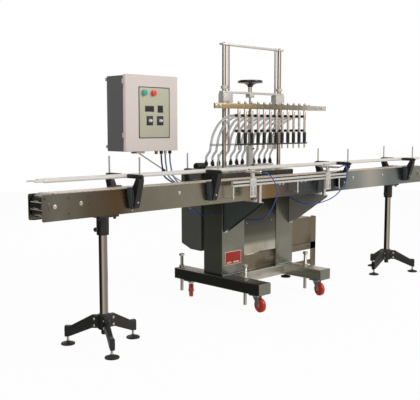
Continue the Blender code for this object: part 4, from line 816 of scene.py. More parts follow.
# %% Side box and its angle frame
side_low, side_high = (np.array(corner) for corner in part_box("side_box"))
side_left, side_right = 0.4455, 0.781
side_front, side_rear = float(side_low[1]), float(side_high[1])
box_z = (0.312, 0.525)
wall = 0.0022
skins = [block((side_left, side_right), (side_front, side_front + wall), box_z, 0.001),
         block((side_left, side_left + wall), (side_front, side_rear), box_z, 0.001),
         block((side_right - wall, side_right), (side_front, side_rear), box_z, 0.001),
         block((side_left, side_right), (side_front, side_rear), (box_z[1] - wall, box_z[1]), 0.001),
         block((side_left, side_right), (side_front, side_rear), (box_z[0], box_z[0] + wall), 0.001)]
piece("side_box_shell", skins, long_sheet, stands_for=("side_box",))
angle = [block((side_left, side_right + 0.070), (side_front + 0.002, side_front + 0.006),
               (0.252, box_z[0]), 0.001),
         block((side_left, side_right + 0.070), (side_front + 0.002, side_front + 0.050),
               (box_z[0] - 0.005, box_z[0]), 0.001),
         block((side_right + 0.0005, side_right + 0.070), (side_front + 0.002, side_front + 0.006),
               (0.100, box_z[1]), 0.001),
         block((side_right + 0.066, side_right + 0.070), (side_front + 0.002, side_front + 0.052),
               (0.100, box_z[1]), 0.001),
         block((0.4315, side_right + 0.010), (side_front + 0.004, side_front + 0.008), (0.124, 0.164), 0.001)]
piece("side_box_angles", angle, long_sheet)
filter_body = [turned([(0, 0.018), (0.004, 0.021), (0.060, 0.021), (0.064, 0.024), (0.090, 0.024),
                       (0.094, 0.014), (0.110, 0.014)], (0.560, 0.115, 0.350)),
               bar((0.50, 0.115, 0.430), (0.70, 0.115, 0.430), 0.010)]
piece("air_filter", filter_body, white_plastic, slot="knob_white")
print("side box", round(side_right - side_left, 3), "wide")

# %% [markdown]
# ## The conveyor
#
# Two tall side plates of brushed stainless run the whole length. Round spacers hold them
# apart and bearing flanges carry the shafts. The plates' grain runs along the conveyor, and
# their lower edges are folded inwards, which gives the thin bright line under them.

# %% Side plates, spacers and bearings
half_length = 2.0
middle_y = -0.2215
near, far = middle_y - 0.0685, middle_y + 0.0685
plate_low_z, plate_high_z = 0.773, 0.916
sprocket_x, sprocket_z = 1.927, 0.852
stations = (-1.404, -0.764, 0.676, 1.666)
rounding = np.linspace(0, pi / 2, 4)


def side_outline(corner=0.010):
    """The side plate's outline: a rectangle whose four corners are quarter circles."""
    corners = []
    for k, (sx, sz) in enumerate(((1, 1), (-1, 1), (-1, -1), (1, -1))):
        u = rounding + k * pi / 2
        centre = (sx * (half_length - corner),
                  (plate_high_z - corner) if sz > 0 else (plate_low_z + corner))
        corners.append(np.stack([centre[0] + corner * np.cos(u), centre[1] + corner * np.sin(u)], -1))
    return np.vstack(corners)


skins = [plate(side_outline(), near, near + 0.003), plate(side_outline(), far - 0.003, far)]
for y, inward in ((near, 1), (far, -1)):
    span = sorted((y + inward * 0.001, y + inward * 0.016))
    skins.append(block((-half_length + 0.02, half_length - 0.02), span,
                       (plate_low_z, plate_low_z + 0.0025), 0.001))
piece("side_plates", skins, plate_sheet_painted_reflection, stands_for=("conveyor_frame",))

skins = []
for x in stations + (-0.044,):
    skins.append(bar((x, near + 0.003, sprocket_z), (x, far - 0.003, sprocket_z), 0.010, sides=16))
bearings, hexes, holes_painted_shade = [], [], []
for x in (-sprocket_x, sprocket_x):
    for y, outward in ((near, -1), (far, 1)):
        flange = [(0, 0.0355), (0.0015, 0.0360), (0.0030, 0.0345), (0.0036, 0.0240), (0.0036, 0.0150),
                  (0.0060, 0.0140), (0.0060, 0.0130)]
        bearings.append(turned(flange, (x, y, sprocket_z), (0, outward, 0), 32))
        hexes += bolt((x, y + outward * 0.0055, sprocket_z), (0, outward, 0), 0.0095, 0.0042, washer=0.0012)
piece("bearing_flanges", bearings, plate_sheet_painted_reflection)
piece("conveyor_spacers", skins, bolt_steel)

# %% Bolts and open holes of the near side plate
for x, z in ((-1.756, 0.856), (-1.03, 0.865), (-0.064, 0.868), (-0.025, 0.868), (0.19, 0.873), (0.235, 0.873),
             (0.86, 0.865), (1.30, 0.865), (1.76, 0.856)):
    for y, outward in ((near, -1), (far, 1)):
        hexes += bolt((x, y, z), (0, outward, 0), 0.0085, 0.0055, washer=0.0016)
for x in stations:
    for y, outward in ((near, -1), (far, 1)):
        hexes += bolt((x, y, 0.790), (0, outward, 0), 0.0060, 0.0040)
piece("conveyor_bolts", hexes, bolt_steel)
# Each open hole is a black disc set into the plate: painted shade in the hole.
for x, z, radius in ((-1.834, 0.891, 0.0048), (-1.836, 0.806, 0.0048), (-1.707, 0.885, 0.0040),
                     (-1.707, 0.846, 0.0040), (-1.985, 0.896, 0.0055), (1.834, 0.891, 0.0048),
                     (1.836, 0.806, 0.0048)):
    holes_painted_shade.append(bar((x, near - 0.0003, z), (x, near + 0.0020, z), radius, 0.0001, 18))
piece("plate_holes_painted_shade", holes_painted_shade, black_rubber, slot="stainless_sheet", crease=30)
print("conveyor bolts:", len(hexes), "holes:", len(holes_painted_shade))

# %% [markdown]
# The chain is made of flat acetal slats, one every 38.1 mm, which hinge round the sprockets.
# A slat is the same small shape everywhere, so one array of it is moved along the loop. The
# loop is a stadium: two straight runs and two half circles. The distance along it gives each
# slat's place and angle.

# %% Slat chain
chain_half, slat_thick, slat_pitch = 0.0570, 0.0046, 0.0381
loop_radius = 0.068 - slat_thick / 2 - 0.0002
straight = 2 * sprocket_x
loop = 2 * straight + 2 * pi * loop_radius
slats = int(round(loop / slat_pitch))
step = loop / slats


def on_loop(s):
    """Place (x, z) and direction angle at a distance s along the loop, starting at the top left."""
    s = np.mod(s, loop)
    arc = pi * loop_radius
    bend_a = np.clip(s - straight, 0, arc) / loop_radius
    bend_b = np.clip(s - 2 * straight - arc, 0, arc) / loop_radius
    run_a = np.clip(s, 0, straight)
    run_b = np.clip(s - straight - arc, 0, straight)
    turn_angle = bend_a + bend_b
    x = -sprocket_x + run_a - run_b
    x = x + loop_radius * (np.sin(bend_a) - np.sin(bend_b))
    z = sprocket_z + loop_radius * np.where(s < straight + arc, np.cos(bend_a), -np.cos(bend_b))
    return x, z, -turn_angle


def slat_shape():
    """A slat: two rounded plates with interlocking ends, as closed rings in (along, across, up)."""
    body = block((-slat_pitch * 0.40, slat_pitch * 0.46), (-chain_half, chain_half),
                 (-slat_thick / 2, slat_thick / 2), 0.0010, 1)
    knuckle = block((-slat_pitch * 0.50, -slat_pitch * 0.42), (-chain_half * 0.42, chain_half * 0.42),
                    (-slat_thick / 2, slat_thick / 2 - 0.0006), 0.0008, 1)
    return [body, knuckle]


skins = []
centres_x, centres_z, angles = on_loop((np.arange(slats) + 0.5) * step)
for shape in slat_shape():
    for x, z, angle in zip(centres_x, centres_z, angles):
        along = shape[..., 0] * cos(angle) - shape[..., 2] * sin(angle)
        up = shape[..., 0] * sin(angle) + shape[..., 2] * cos(angle)
        skins.append(np.stack([x + along, middle_y + shape[..., 1], z + up], -1))
piece("chain_slats", skins, acetal, stands_for=("slat_chain",))
core = [block((-sprocket_x, sprocket_x), (middle_y - 0.021, middle_y + 0.021), (z - 0.0025, z + 0.0025),
              0.001) for z in (0.9125, 0.7915)]
piece("chain_hinges", core, screw_steel)
# A black shoe, 1 mm thick, covers the chain where it turns at each end.
shoes = []
for side in (-1, 1):
    u = np.radians(np.linspace(62, 250, 24))
    arcs = [np.stack([side * (sprocket_x - r * np.cos(u)), sprocket_z + r * np.sin(u)], -1)
            for r in (0.0683, 0.0693)]
    shoes.append(plate(np.vstack([arcs[0], arcs[1][::-1]]), middle_y - 0.0560, middle_y + 0.0560,
                       "y", 0.0002))
piece("end_shoes", shoes, black_nylon, slot="slat_plastic")
wear = [block((-1.86, 1.86), (y - 0.010, y + 0.010), (0.9000, 0.9095), 0.001)
        for y in (near + 0.014, far - 0.014)]
piece("wear_strips", wear, rail_white, slot="knob_white")
print("slats:", slats, "pitch", round(step * 1000, 2), "mm")

# %% [markdown]
# A gear motor drives the shaft at the outfeed end, behind the far side plate.

# %% Gear motor
gear_y = tuple(float(corner[1]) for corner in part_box("gear_motor"))
gear_x = (sprocket_x - 0.058, sprocket_x + 0.058)
skins = [block(gear_x, gear_y, (sprocket_z - 0.060, sprocket_z + 0.058), 0.010, 4)]
shaft_y = gear_y[0] + 0.115
fins = np.arange(sprocket_x - 0.250, sprocket_x - 0.075, 0.0045)
profile = [(x, 0.055 if k % 2 else 0.049) for k, x in enumerate(fins)]
profile = [(sprocket_x - 0.298, 0.050), (sprocket_x - 0.294, 0.054), (sprocket_x - 0.255, 0.054)] + profile
profile.append((sprocket_x - 0.062, 0.055))
skins.append(turned(profile, (0, shaft_y, sprocket_z), (1, 0, 0), 36))
for dx in (-0.046, 0.046):
    for dz in (-0.046, 0.046):
        skins += bolt((sprocket_x + dx, gear_y[1] - 0.001, sprocket_z + dz), (0, 1, 0), 0.006, 0.001)
piece("gear_motor_case", skins, dark_paint, stands_for=("gear_motor",), slot="dark_motor", crease=30)

# %% [markdown]
# ## Guide rails
#
# Each rail is a pale round rail with a slimmer rod at its ends. It is held by a black clamp on
# a thin upright rod, which stands in a black ribbed bracket body on the side plate. The
# bracket is a moulding: a tapering trapezoid with upright ribs on its face and a clamp screw.

# %% Guide rails with clamps and brackets
rail_z, rail_radius, rail_reach = 0.986, 0.010, 2.022
rod_reach = 0.073


def bracket(x, side):
    """One bracket of the near (-1) or far (+1) rail: ribbed body, black arm and clamp, bright rod."""
    rail_y = middle_y + side * 0.038
    plate_y = middle_y + side * 0.0688
    rod_y = plate_y + side * rod_reach
    taper = [(x - 0.0375, 0.925), (x - 0.0345, 0.880), (x - 0.0215, 0.8005), (x + 0.0215, 0.8005),
             (x + 0.0345, 0.880), (x + 0.0375, 0.925)]
    body = [plate(taper, *sorted((plate_y, plate_y + side * 0.036)), "y", 0.0022)]
    for share in (-0.72, -0.36, 0.0, 0.36, 0.72):
        # Ribs follow the taper: each leans with its share of the half width.
        top, low = x + share * 0.034, x + share * 0.0205
        rib = [(top - 0.0030, 0.915), (low - 0.0024, 0.808), (low + 0.0024, 0.808), (top + 0.0030, 0.915)]
        body.append(plate(rib, *sorted((plate_y + side * 0.034, plate_y + side * 0.0438)), "y", 0.0012))
    # Where the front rail passes, the arm is slim and starts above it.
    beside_rail = side < 0 and -0.7 < x < 0.7
    slim = [(0.006, 0.9190), (0.059, 0.9190), (0.0895, 0.9585), (0.0895, 0.9775), (0.060, 0.9775),
            (0.037, 0.9300), (0.006, 0.9300)]
    broad = [(0.031, 0.8070), (0.0462, 0.8070), (0.0895, 0.9585), (0.0895, 0.9775), (0.059, 0.9775),
             (0.031, 0.9300)]
    arm, wide = (slim, 0.0135) if beside_rail else (broad, 0.0195)
    black = [plate([(plate_y + side * u, v) for u, v in arm], x - wide, x + wide, "x", 0.0015)]
    for u in (0.006, 0.015, 0.024):
        # Upright ribs on the two side faces, which lean in with the taper.
        for way in (-1, 1):
            lean = [(x + way * 0.0338, 0.880), (x + way * 0.0212, 0.806), (x + way * 0.0228, 0.806),
                    (x + way * 0.0356, 0.880), (x + way * 0.0384, 0.918), (x + way * 0.0366, 0.918)]
            body.append(plate(lean, *sorted((plate_y + side * u, plate_y + side * (u + 0.0035))),
                              "y", 0.0005))
    black.append(bar((x, rod_y, 0.9500), (x, rod_y, 0.9700), 0.0125, 0.002))
    clamp = sorted((rail_y + side * 0.0040, rod_y + side * 0.0128))
    black.append(block((x - 0.0155, x + 0.0155), clamp, (rail_z - 0.0108, rail_z + 0.0128), 0.0040, 4))
    black.append(bar((x, rod_y + side * 0.011, rail_z), (x, rod_y + side * 0.0298, rail_z), 0.0085, 0.0015))
    steel = [bar((x, rod_y, 0.952), (x, rod_y, 1.0998), 0.0049, 0.001)]
    steel += bolt((x, plate_y + side * (0.0435 if beside_rail else 0.0545), 0.838), (0, side, 0),
                  0.0060, 0.0040)
    return body, black, steel


for name, side in (("guide_rail_front", -1), ("guide_rail_rear", 1)):
    rail_y = middle_y + side * 0.038
    step_in = rail_reach - 0.056
    profile = [(-rail_reach, 0.0045), (-rail_reach + 0.001, 0.0055), (-step_in - 0.001, 0.0055),
               (-step_in, 0.0088), (-step_in + 0.0015, rail_radius), (step_in - 0.0015, rail_radius),
               (step_in, 0.0088), (step_in + 0.001, 0.0055), (rail_reach - 0.001, 0.0055),
               (rail_reach, 0.0045)]
    piece(f"{name}_rail", [turned(profile, (0, rail_y, rail_z), (1, 0, 0), 28)], rail_white,
          stands_for=(name,), slot="aluminium")
    bodies, black, steel = [], [], []
    for x in stations:
        for parts, more in zip((bodies, black, steel), bracket(x, side)):
            parts += more
    piece(f"{name}_brackets", bodies, slate_nylon)
    piece(f"{name}_clamps", black, black_nylon)
    piece(f"{name}_rods", steel, bolt_steel)
print("brackets per rail:", len(stations))

# %% [markdown]
# ## Front rail and gates
#
# A pale aluminium profile with slots runs in front of the middle of the conveyor. It stands on
# two flat posts on the gussets, and three slim stays tie it to the side plate. Two small air
# cylinders with slotted plates sit on it: their pins stop and release the bottles.

# %% Front rail
rail_low, rail_high = (np.array(corner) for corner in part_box("front_rail"))
rail_ends = (float(rail_low[0]), float(rail_high[0]))
rail_front = -0.357
rail_back = -0.337
bottom, top = 0.880, 0.915
groove, lip, stay_z = 0.0035, 0.0045, 0.805
centre_z = (bottom + top) / 2
# The profile's section has one T-slot in its face and one in its back: a stepped outline.
section = [(rail_front, bottom), (rail_back, bottom), (rail_back, centre_z - lip),
           (rail_back - groove, centre_z - lip), (rail_back - groove, centre_z + lip),
           (rail_back, centre_z + lip), (rail_back, top), (rail_front, top), (rail_front, centre_z + lip),
           (rail_front + groove, centre_z + lip), (rail_front + groove, centre_z - lip),
           (rail_front, centre_z - lip)]
skins = [plate(section, *rail_ends, "x", 0.0004)]
piece("front_profile", skins, satin_block, stands_for=("front_rail",))
# The slot's floor is a dark strip: painted shade in the groove.
groove_floor_painted_shade = [block((rail_ends[0] + 0.001, rail_ends[1] - 0.001),
                      (rail_front + groove - 0.0012, rail_front + groove + 0.001),
                      (centre_z - lip + 0.0004, centre_z + lip - 0.0004), 0.0002)]
piece("front_profile_slot_painted_shade", groove_floor_painted_shade, black_rubber, slot="aluminium")
skins, knobs = [], []
for x in gusset_x:
    skins.append(block((x - 0.011, x + 0.011), (rail_back + 0.0005, rail_back + 0.021),
                       (0.7573, bottom + 0.025), 0.0015))
    skins.append(block((x - 0.017, x + 0.017), (rail_back - 0.002, rail_back + 0.0205),
                       (0.7573, 0.7610), 0.001))
for x in (-0.597, 0.083, 0.600):
    skins.append(block((x - 0.006, x + 0.006), (rail_back - 0.004, rail_back + 0.001),
                       (0.795, bottom + 0.02), 0.001))
    skins.append(bar((x, rail_back - 0.002, stay_z), (x, near - 0.0003, stay_z), 0.005))
    knobs += bolt((x, rail_back - 0.004, stay_z), (0, -1, 0), 0.0065, 0.004)
piece("front_rail_posts", skins, cast_aluminium)
piece("front_rail_bolts", knobs, bolt_steel)
print("front rail", round(rail_ends[1] - rail_ends[0], 3), "long")

# %% Gate cylinders
for name, x, tail in (("left", -0.424, -0.430), ("right", 0.426, -0.440)):
    nose, z, r = -0.300, 0.972, 0.010
    node_name = f"gate_cylinder_{name}"
    tube = [turned([(0, 0.0085), (0.001, 0.0098), (0.016, 0.0098), (0.0165, 0.0088), (0.020, 0.0088),
                    (0.0205, 0.0092), (-tail + nose - 0.022, 0.0092), (-tail + nose - 0.0215, 0.0098),
                    (-tail + nose - 0.001, 0.0098), (-tail + nose, 0.0080)], (x, tail, z), (0, 1, 0), 24)]
    piece(f"gate_{name}_tube", tube, cast_aluminium, stands_for=(node_name,))
    gold = [bar((x, nose - 0.020, z + 0.008), (x, nose - 0.020, z + 0.013), 0.0048, sides=6),
            turned([(0, 0.0058), (0.006, 0.0058), (0.007, 0.005), (0.0085, 0.005)], (x, tail + 0.0008, z),
                   (0, -1, 0), 6)]
    piece(f"gate_{name}_nipples", gold, brass, slot="aluminium")
    black = [bar((x, tail - 0.0078, z), (x, tail - 0.0139, z), 0.0058),
             bar((x, nose - 0.020, z + 0.0128), (x, nose - 0.020, z + 0.0178), 0.0046)]
    piece(f"gate_{name}_fittings", black, black_nylon)
    front_y = rail_front - 0.0003
    bars = []
    # The slotted plate: three upright strips between two cross pieces leave two long slots.
    for low_u, high_u in ((-0.031, -0.020), (-0.012, 0.012), (0.020, 0.031)):
        bars.append(block((x + low_u, x + high_u), (front_y - 0.0045, front_y), (0.812, 0.870), 0.0008, 2))
    bars.append(block((x - 0.031, x + 0.031), (front_y - 0.0045, front_y), (0.8005, 0.8125), 0.0008, 2))
    bars.append(block((x - 0.031, x + 0.031), (front_y - 0.0045, front_y), (0.8695, 0.9285), 0.0008, 2))
    bars.append(block((x - 0.0135, x + 0.0135), (front_y - 0.0042, front_y + 0.0115),
                      (0.9235, z - 0.006), 0.001))
    bars.append(block((x - 0.0140, x + 0.0140), (front_y - 0.0040, front_y + 0.0118),
                      (z - 0.011, z + 0.0115), 0.002))
    piece(f"gate_{name}_plate", bars, satin_block)
    ties = []
    for u in (-0.016, 0.016):
        ties += bolt((x + u, front_y - 0.0003, 0.897), (0, -1, 0), 0.0062, 0.0040)
        ties += bolt((x + u, front_y - 0.0003, 0.845), (0, -1, 0), 0.0058, 0.0042)
    piece(f"gate_{name}_bolts", ties, bolt_steel)
print("gates: 2")

# %% [markdown]
# ## Stands
#
# Each end of the conveyor stands on a tripod. The foot is a black nylon moulding with a hub
# and three legs that thin out towards the pads. The pole is bright tube, and the head is a
# black clamp with a hand lever. A leg is lofted: its section is a rounded rectangle whose
# width, top and bottom follow straight lines between given distances from the hub.

# %% Tripods
def superellipse(half_wide, half_high, sides=16, power=0.55):
    """A rounded rectangle as sign(cos u)|cos u|^p and sign(sin u)|sin u|^p, scaled to its half sizes."""
    u = np.arange(sides) * 2 * pi / sides
    round_off = lambda value: np.sign(value) * np.abs(value) ** power
    return np.stack([half_wide * round_off(np.cos(u)), half_high * round_off(np.sin(u))], -1)


def leg_skin(x, y, angle, spread=0.225):
    """A leg along one heading: a deep arm whose top and bottom fall in straight lines, then a toe."""
    out = np.array([0.022, 0.050, 0.072, 0.110, 0.150, spread - 0.026, spread - 0.021, spread - 0.012,
                    spread + 0.006, spread + 0.0142, spread + 0.0158])
    top = np.interp(out, [0.022, 0.072, spread - 0.022, spread + 0.0142, spread + 0.016],
                    [0.1895, 0.1865, 0.1155, 0.1138, 0.1118])
    low = np.interp(out, [0.022, 0.072, spread - 0.018, spread + 0.0142, spread + 0.016],
                    [0.1082, 0.1065, 0.0505, 0.0445, 0.0465])
    width = np.interp(out, [0.020, 0.120, spread - 0.020, spread + 0.0142, spread + 0.016],
                      [0.0158, 0.0128, 0.0140, 0.0150, 0.0138])
    unit = superellipse(1.0, 1.0, power=0.35)
    across = width[:, None] * unit[None, :, 0]
    up = ((top + low) / 2)[:, None] + ((top - low) / 2)[:, None] * unit[None, :, 1]
    dx, dy = cos(angle), sin(angle)
    return np.stack([x + out[:, None] * dx - across * dy, y + out[:, None] * dy + across * dx, up], -1)


for name, x, heading_deg in (("tripod_left", -1.564, 4), ("tripod_right", 1.516, 184)):
    y, top = middle_y, 0.7727
    black = [turned([(0.104, 0.032), (0.106, 0.0355), (0.112, 0.036), (0.188, 0.036), (0.194, 0.033),
                     (0.197, 0.028)], (x, y, 0), sides=36),
             turned([(0.0745, 0.0160), (0.0765, 0.0180), (0.1060, 0.0180)], (x, y, 0), sides=28)]
    rubber, studs, bolts = [], [], []
    for turn in (0, 120, 240):
        angle = radians(heading_deg + turn)
        black.append(leg_skin(x, y, angle))
        foot = (x + 0.225 * cos(angle), y + 0.225 * sin(angle), 0)
        rubber.append(turned([(0, 0.0405), (0.002, 0.0415), (0.007, 0.0415), (0.0095, 0.038), (0.014, 0.022),
                              (0.018, 0.0105), (0.0215, 0.0085)], foot, sides=36))
        studs.append(turned([(0.018, 0.0065), (0.0215, 0.0088), (0.026, 0.0088), (0.030, 0.0068),
                             (0.0460, 0.0068)], foot, sides=20))
        # Two bolts through each leg's root clamp it to the hub.
        for z in (0.124, 0.164):
            root = np.array([x + 0.058 * cos(angle), y + 0.058 * sin(angle), z])
            across = np.array([sin(angle), -cos(angle), 0])
            bolts += bolt(root + across * 0.0140, across, 0.0080, 0.0036)
            bolts += bolt(root - across * 0.0140, -across, 0.0080, 0.0036)
    black.append(turned([(0.655, 0.030), (0.657, 0.0355), (0.700, 0.036), (0.752, 0.036), (0.7605, 0.042)],
                        (x, y, 0), sides=36))
    black.append(block((x - 0.070, x + 0.070), (y - 0.066, y + 0.066), (top - 0.012, top), 0.004, 4))
    black.append(turned([(0, 0.009), (0.002, 0.0122), (0.006, 0.0130), (0.0125, 0.0130), (0.0155, 0.0105)],
                        (x - 0.0425, y, 0.690), (-1, 0, 0), 8))
    for way in (-1, 1):
        # Two clamp knobs under the ends of the head plate.
        black.append(bar((x + way * 0.056, y - 0.040, top - 0.013), (x + way * 0.056, y - 0.040, top - 0.026),
                         0.0085, 0.002))
    piece(f"{name}_mouldings", black, black_nylon, stands_for=(name,))
    piece(f"{name}_pads", rubber, black_rubber, slot="black_plastic")
    piece(f"{name}_studs", studs + bolts, bolt_steel)
    pole = [bar((x, y, 0.1965), (x, y, 0.656), 0.025, sides=40),
            bar((x - 0.034, y, 0.690), (x - 0.044, y, 0.690), 0.006)]
    piece(f"{name}_pole", pole, pole_steel_painted_reflection)
print("tripods: 2")

# %% [markdown]
# ## The pump and its valves
#
# Twelve piston pumps stand in a dark housing behind the cabinet. On top of it a manifold
# carries a row of black valve fittings, one for each hose. The clear hoses start there.

# %% Pump housing and manifold
housing_left, housing_right = -0.364, 0.460
housing = [(0.210, 0.930), (0.210, 0.356), (0.320, 0.359), (0.418, 0.396), (0.420, 0.930)]
skins = [plate(housing, housing_left, housing_right, "x", 0.004)]
for x in (-0.184, 0.302):
    for z in (0.45, 0.85):
        skins.append(block((x - 0.03, x + 0.03), (0.1773, 0.2115), (z - 0.03, z + 0.03), 0.002))
piece("pump_housing_case", skins, dark_paint, stands_for=("pump_housing",), slot="dark_steel", crease=30)
screws = []
for x in np.linspace(housing_left + 0.03, housing_right - 0.03, 6):
    for z in (0.43, 0.905):
        screws.append(round_head((x, 0.4197, z), (0, 1, 0), 0.006, 0.003))
piece("housing_screws", screws, bolt_steel)

pitch, nozzle_count = 0.066, 12
valve_x = -0.293 + pitch * np.arange(nozzle_count)
valve_y, valve_top = 0.221, 1.026
piece("manifold_plate", [block((housing_left, housing_right), (0.181, 0.365), (0.9303, 0.9383), 0.0015)],
      bar_steel, stands_for=("valve_manifold",))
steel = [block((-0.323, 0.457), (0.201, 0.241), (0.9382, 0.9803), 0.003),
         block((-0.343, -0.319), (0.209, 0.233), (0.9382, 0.9830), 0.002)]
piece("manifold_block", steel, satin_block)
screws = []
for x in np.arange(-0.340, 0.460, 0.158):
    for y in (0.256, 0.352):
        screws += bolt((x, y, 0.9383), (0, 0, 1), 0.0062, 0.0045, washer=0.0012)
piece("manifold_bolts", screws, bolt_steel)
black = []
for k, x in enumerate(valve_x):
    black.append(turned([(0.9798, 0.0094), (0.9805, 0.0100), (0.9895, 0.0100)], (x, valve_y, 0), sides=24))
    knurl = turned([(0.9890, 0.0140), (0.9905, 0.0150), (1.0020, 0.0150), (1.0030, 0.0138), (1.0130, 0.0128),
                    (1.0140, 0.0112)], (x, valve_y, 0), sides=36)
    # The union nut has 18 shallow grips: every other point of a ring sits about 0.6 mm in.
    centre = np.array([x, valve_y, 0])
    grip = np.where(np.arange(36) % 2, 0.955, 1.0)[None, :, None]
    flat = np.array([1.0, 1.0, 0.0])
    black.append(centre + (knurl - centre) * (flat * grip + (1 - flat)))
    black.append(turned([(1.0135, 0.0085), (valve_top - 0.0005, 0.0085)], (x, valve_y, 0), sides=20))
    side = -1 if k % 2 else 1
    black.append(bar((x, valve_y, 0.985), (x, valve_y + side * 0.018, 0.985), 0.0045))
piece("valve_fittings", black, black_nylon)
drain = [turned([(-0.400, 0.0245), (-0.397, 0.0268), (-0.3475, 0.0268), (-0.3445, 0.0255), (-0.3195, 0.0255)],
                (0, valve_y, 0.983), (1, 0, 0), 32)]
piece("manifold_drain", drain, black_nylon)
ring = [bar((-0.3925, valve_y, 0.983), (-0.3895, valve_y, 0.983), 0.0270, 0.0006, 32)]
piece("manifold_drain_ring", ring, screw_steel)
print("valves:", len(valve_x))

# %% [markdown]
# ## The lifting gantry
#
# Two bright posts and two thinner guide rods are tied by a bar at the top. The air cylinder
# between them lifts the head. Each post has a foot flange and a stop collar.

# %% Posts, rods, tie bar and lift cylinder
post_x, guide_x, lift_x, post_y = (-0.244, 0.376), (-0.197, 0.328), 0.036, 0.085
steel = [bar((x, post_y, 0.943), (x, post_y, 1.866), 0.015, sides=40) for x in post_x]
piece("posts", steel, post_steel_painted_reflection, stands_for=("lift_gantry",))
steel = [bar((x, post_y, 1.0955), (x, post_y, 1.866), 0.0079, sides=28) for x in guide_x]
piece("guide_rods", steel, post_steel_painted_reflection)
collars, nuts = [], []
for x in post_x:
    collars.append(turned([(0.9423, 0.029), (0.949, 0.029), (0.950, 0.0275), (0.9503, 0.021), (0.9635, 0.020),
                           (0.9643, 0.0192)], (x, post_y, 0), sides=36))
    collars.append(turned([(1.545, 0.0248), (1.546, 0.0258), (1.554, 0.0258), (1.5545, 0.0245),
                           (1.5575, 0.0245), (1.558, 0.0258), (1.566, 0.0258), (1.567, 0.0248)],
                          (x, post_y, 0), sides=36))
    nuts.append(turned([(1.868, 0.0110), (1.8755, 0.0110), (1.877, 0.0090)], (x, post_y, 0), sides=6))
    for k in range(3):
        angle = radians(20 + 120 * k)
        nuts += bolt((x + 0.0245 * cos(angle), post_y + 0.0245 * sin(angle), 0.9496), (0, 0, 1),
                     0.0040, 0.0035)
    nuts.append(bar((x - 0.0262, post_y - 0.003, 1.556), (x - 0.0240, post_y - 0.003, 1.556), 0.0035))
for x in guide_x:
    nuts.append(turned([(1.868, 0.0080), (1.8725, 0.0080), (1.874, 0.0064)], (x, post_y, 0), sides=6))
    nuts.append(turned([(1.867, 0.0085), (1.869, 0.0085)], (x, post_y, 0), sides=20))
piece("post_collars", collars, satin_block, slot="stainless_sheet")
piece("gantry_nuts", nuts, bolt_steel)
piece("tie_bar", [block((-0.276, 0.408), (0.065, 0.105), (1.854, 1.868), 0.0018)], satin_block)

cylinder = [turned([(0.6205, 0.024), (0.6225, 0.0283), (0.655, 0.0283), (0.6555, 0.0265), (1.090, 0.0265),
                    (1.0905, 0.0283), (1.127, 0.0283), (1.130, 0.0245)], (lift_x, post_y, 0), sides=40),
            turned([(1.1295, 0.0190), (1.1300, 0.0200), (1.1300, 0.0132)], (lift_x, post_y, 0), sides=32)]
piece("lift_cylinder_tube", cylinder, satin_block, stands_for=("lift_cylinder",))
flange = [block((lift_x - 0.040, lift_x + 0.040), (post_y - 0.040, post_y + 0.040), (0.9423, 0.9543), 0.002)]
piece("lift_cylinder_flange", flange, bar_steel)
screws = []
for dx in (-0.030, 0.030):
    for dy in (-0.030, 0.030):
        screws += bolt((lift_x + dx, post_y + dy, 0.9543), (0, 0, 1), 0.0062, 0.0045, washer=0.001)
piece("lift_cylinder_bolts", screws, bolt_steel)
ports = []
for z in (0.985, 1.108):
    ports.append(bar((lift_x, post_y - 0.026, z), (lift_x, post_y - 0.034, z), 0.0065, sides=6))
    ports.append(bar((lift_x, post_y - 0.034, z), (lift_x, post_y - 0.044, z), 0.0055))
piece("lift_cylinder_ports", ports, black_nylon)
print("posts:", len(post_x), "guide rods:", len(guide_x))

# %% [markdown]
# The lift rod and its threaded bore move with the handwheel: the rod feeds up and down as the
# spindle turns in it.

# %% Lift rod
rod_top = float(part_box("lift_rod")[1][2])
rod = [turned([(0.8005, 0.0118), (0.8015, 0.01245), (rod_top - 0.0010, 0.01245), (rod_top - 0.0002, 0.0117)],
              (lift_x, post_y, 0), sides=36)]
piece("lift_rod_bar", rod, post_steel_painted_reflection, body="lift_rod", stands_for=("lift_rod",))
print("lift rod top", round(rod_top, 4))

# %% [markdown]
# ## The filling head
#
# The crosshead rides on the posts: a bar with two bearing blocks and a nut block for the
# spindle. Two arms reach forward over the conveyor to the long nozzle bar. Everything in
# this section moves with the head.

# %% Crosshead
skins = [block((-0.278, 0.410), (0.066, 0.104), (1.5133, 1.529), 0.0015)]
piece("crosshead_bar", skins, satin_block, body="filling_head", stands_for=("crosshead",),
      slot="stainless_sheet")
skins = []
for x in ((-0.278, -0.179), (0.310, 0.410)):
    skins.append(block(x, (0.058, 0.112), (1.427, 1.5130), 0.003, 3))
skins.append(block((0.012, 0.060), (0.062, 0.108), (1.488, 1.5150), 0.002))
piece("bearing_blocks", skins, satin_block, body="filling_head")
skins, seals, screws = [], [], []
for x in post_x:
    skins.append(block((x - 0.012, x + 0.012), (-0.2127, 0.0570), (1.4052, 1.4308), 0.0018))
    skins.append(block((x - 0.030, x + 0.030), (0.0565, 0.0642), (1.4052, 1.4565), 0.0015))
    seals.append(turned([(1.420, 0.0205), (1.4262, 0.0215), (1.4275, 0.0215)], (x, post_y, 0), sides=32))
    seals.append(turned([(1.5285, 0.0225), (1.5296, 0.0225), (1.5299, 0.0205)], (x, post_y, 0), sides=32))
    for u in (-0.022, 0.022):
        screws.append(round_head((x + u, 0.0565, 1.446), (0, -1, 0), 0.0055, 0.0045))
    screws += bolt((x, -0.2095, 1.4308), (0, 0, 1), 0.0055, 0.0040)
for x in guide_x:
    seals.append(turned([(1.4225, 0.0125), (1.4275, 0.0135)], (x, post_y, 0), sides=28))
for x in (-0.268, -0.190, 0.321, 0.400):
    for z in (1.440, 1.500):
        screws.append(round_head((x, 0.0585, z), (0, -1, 0), 0.0048, 0.0040))
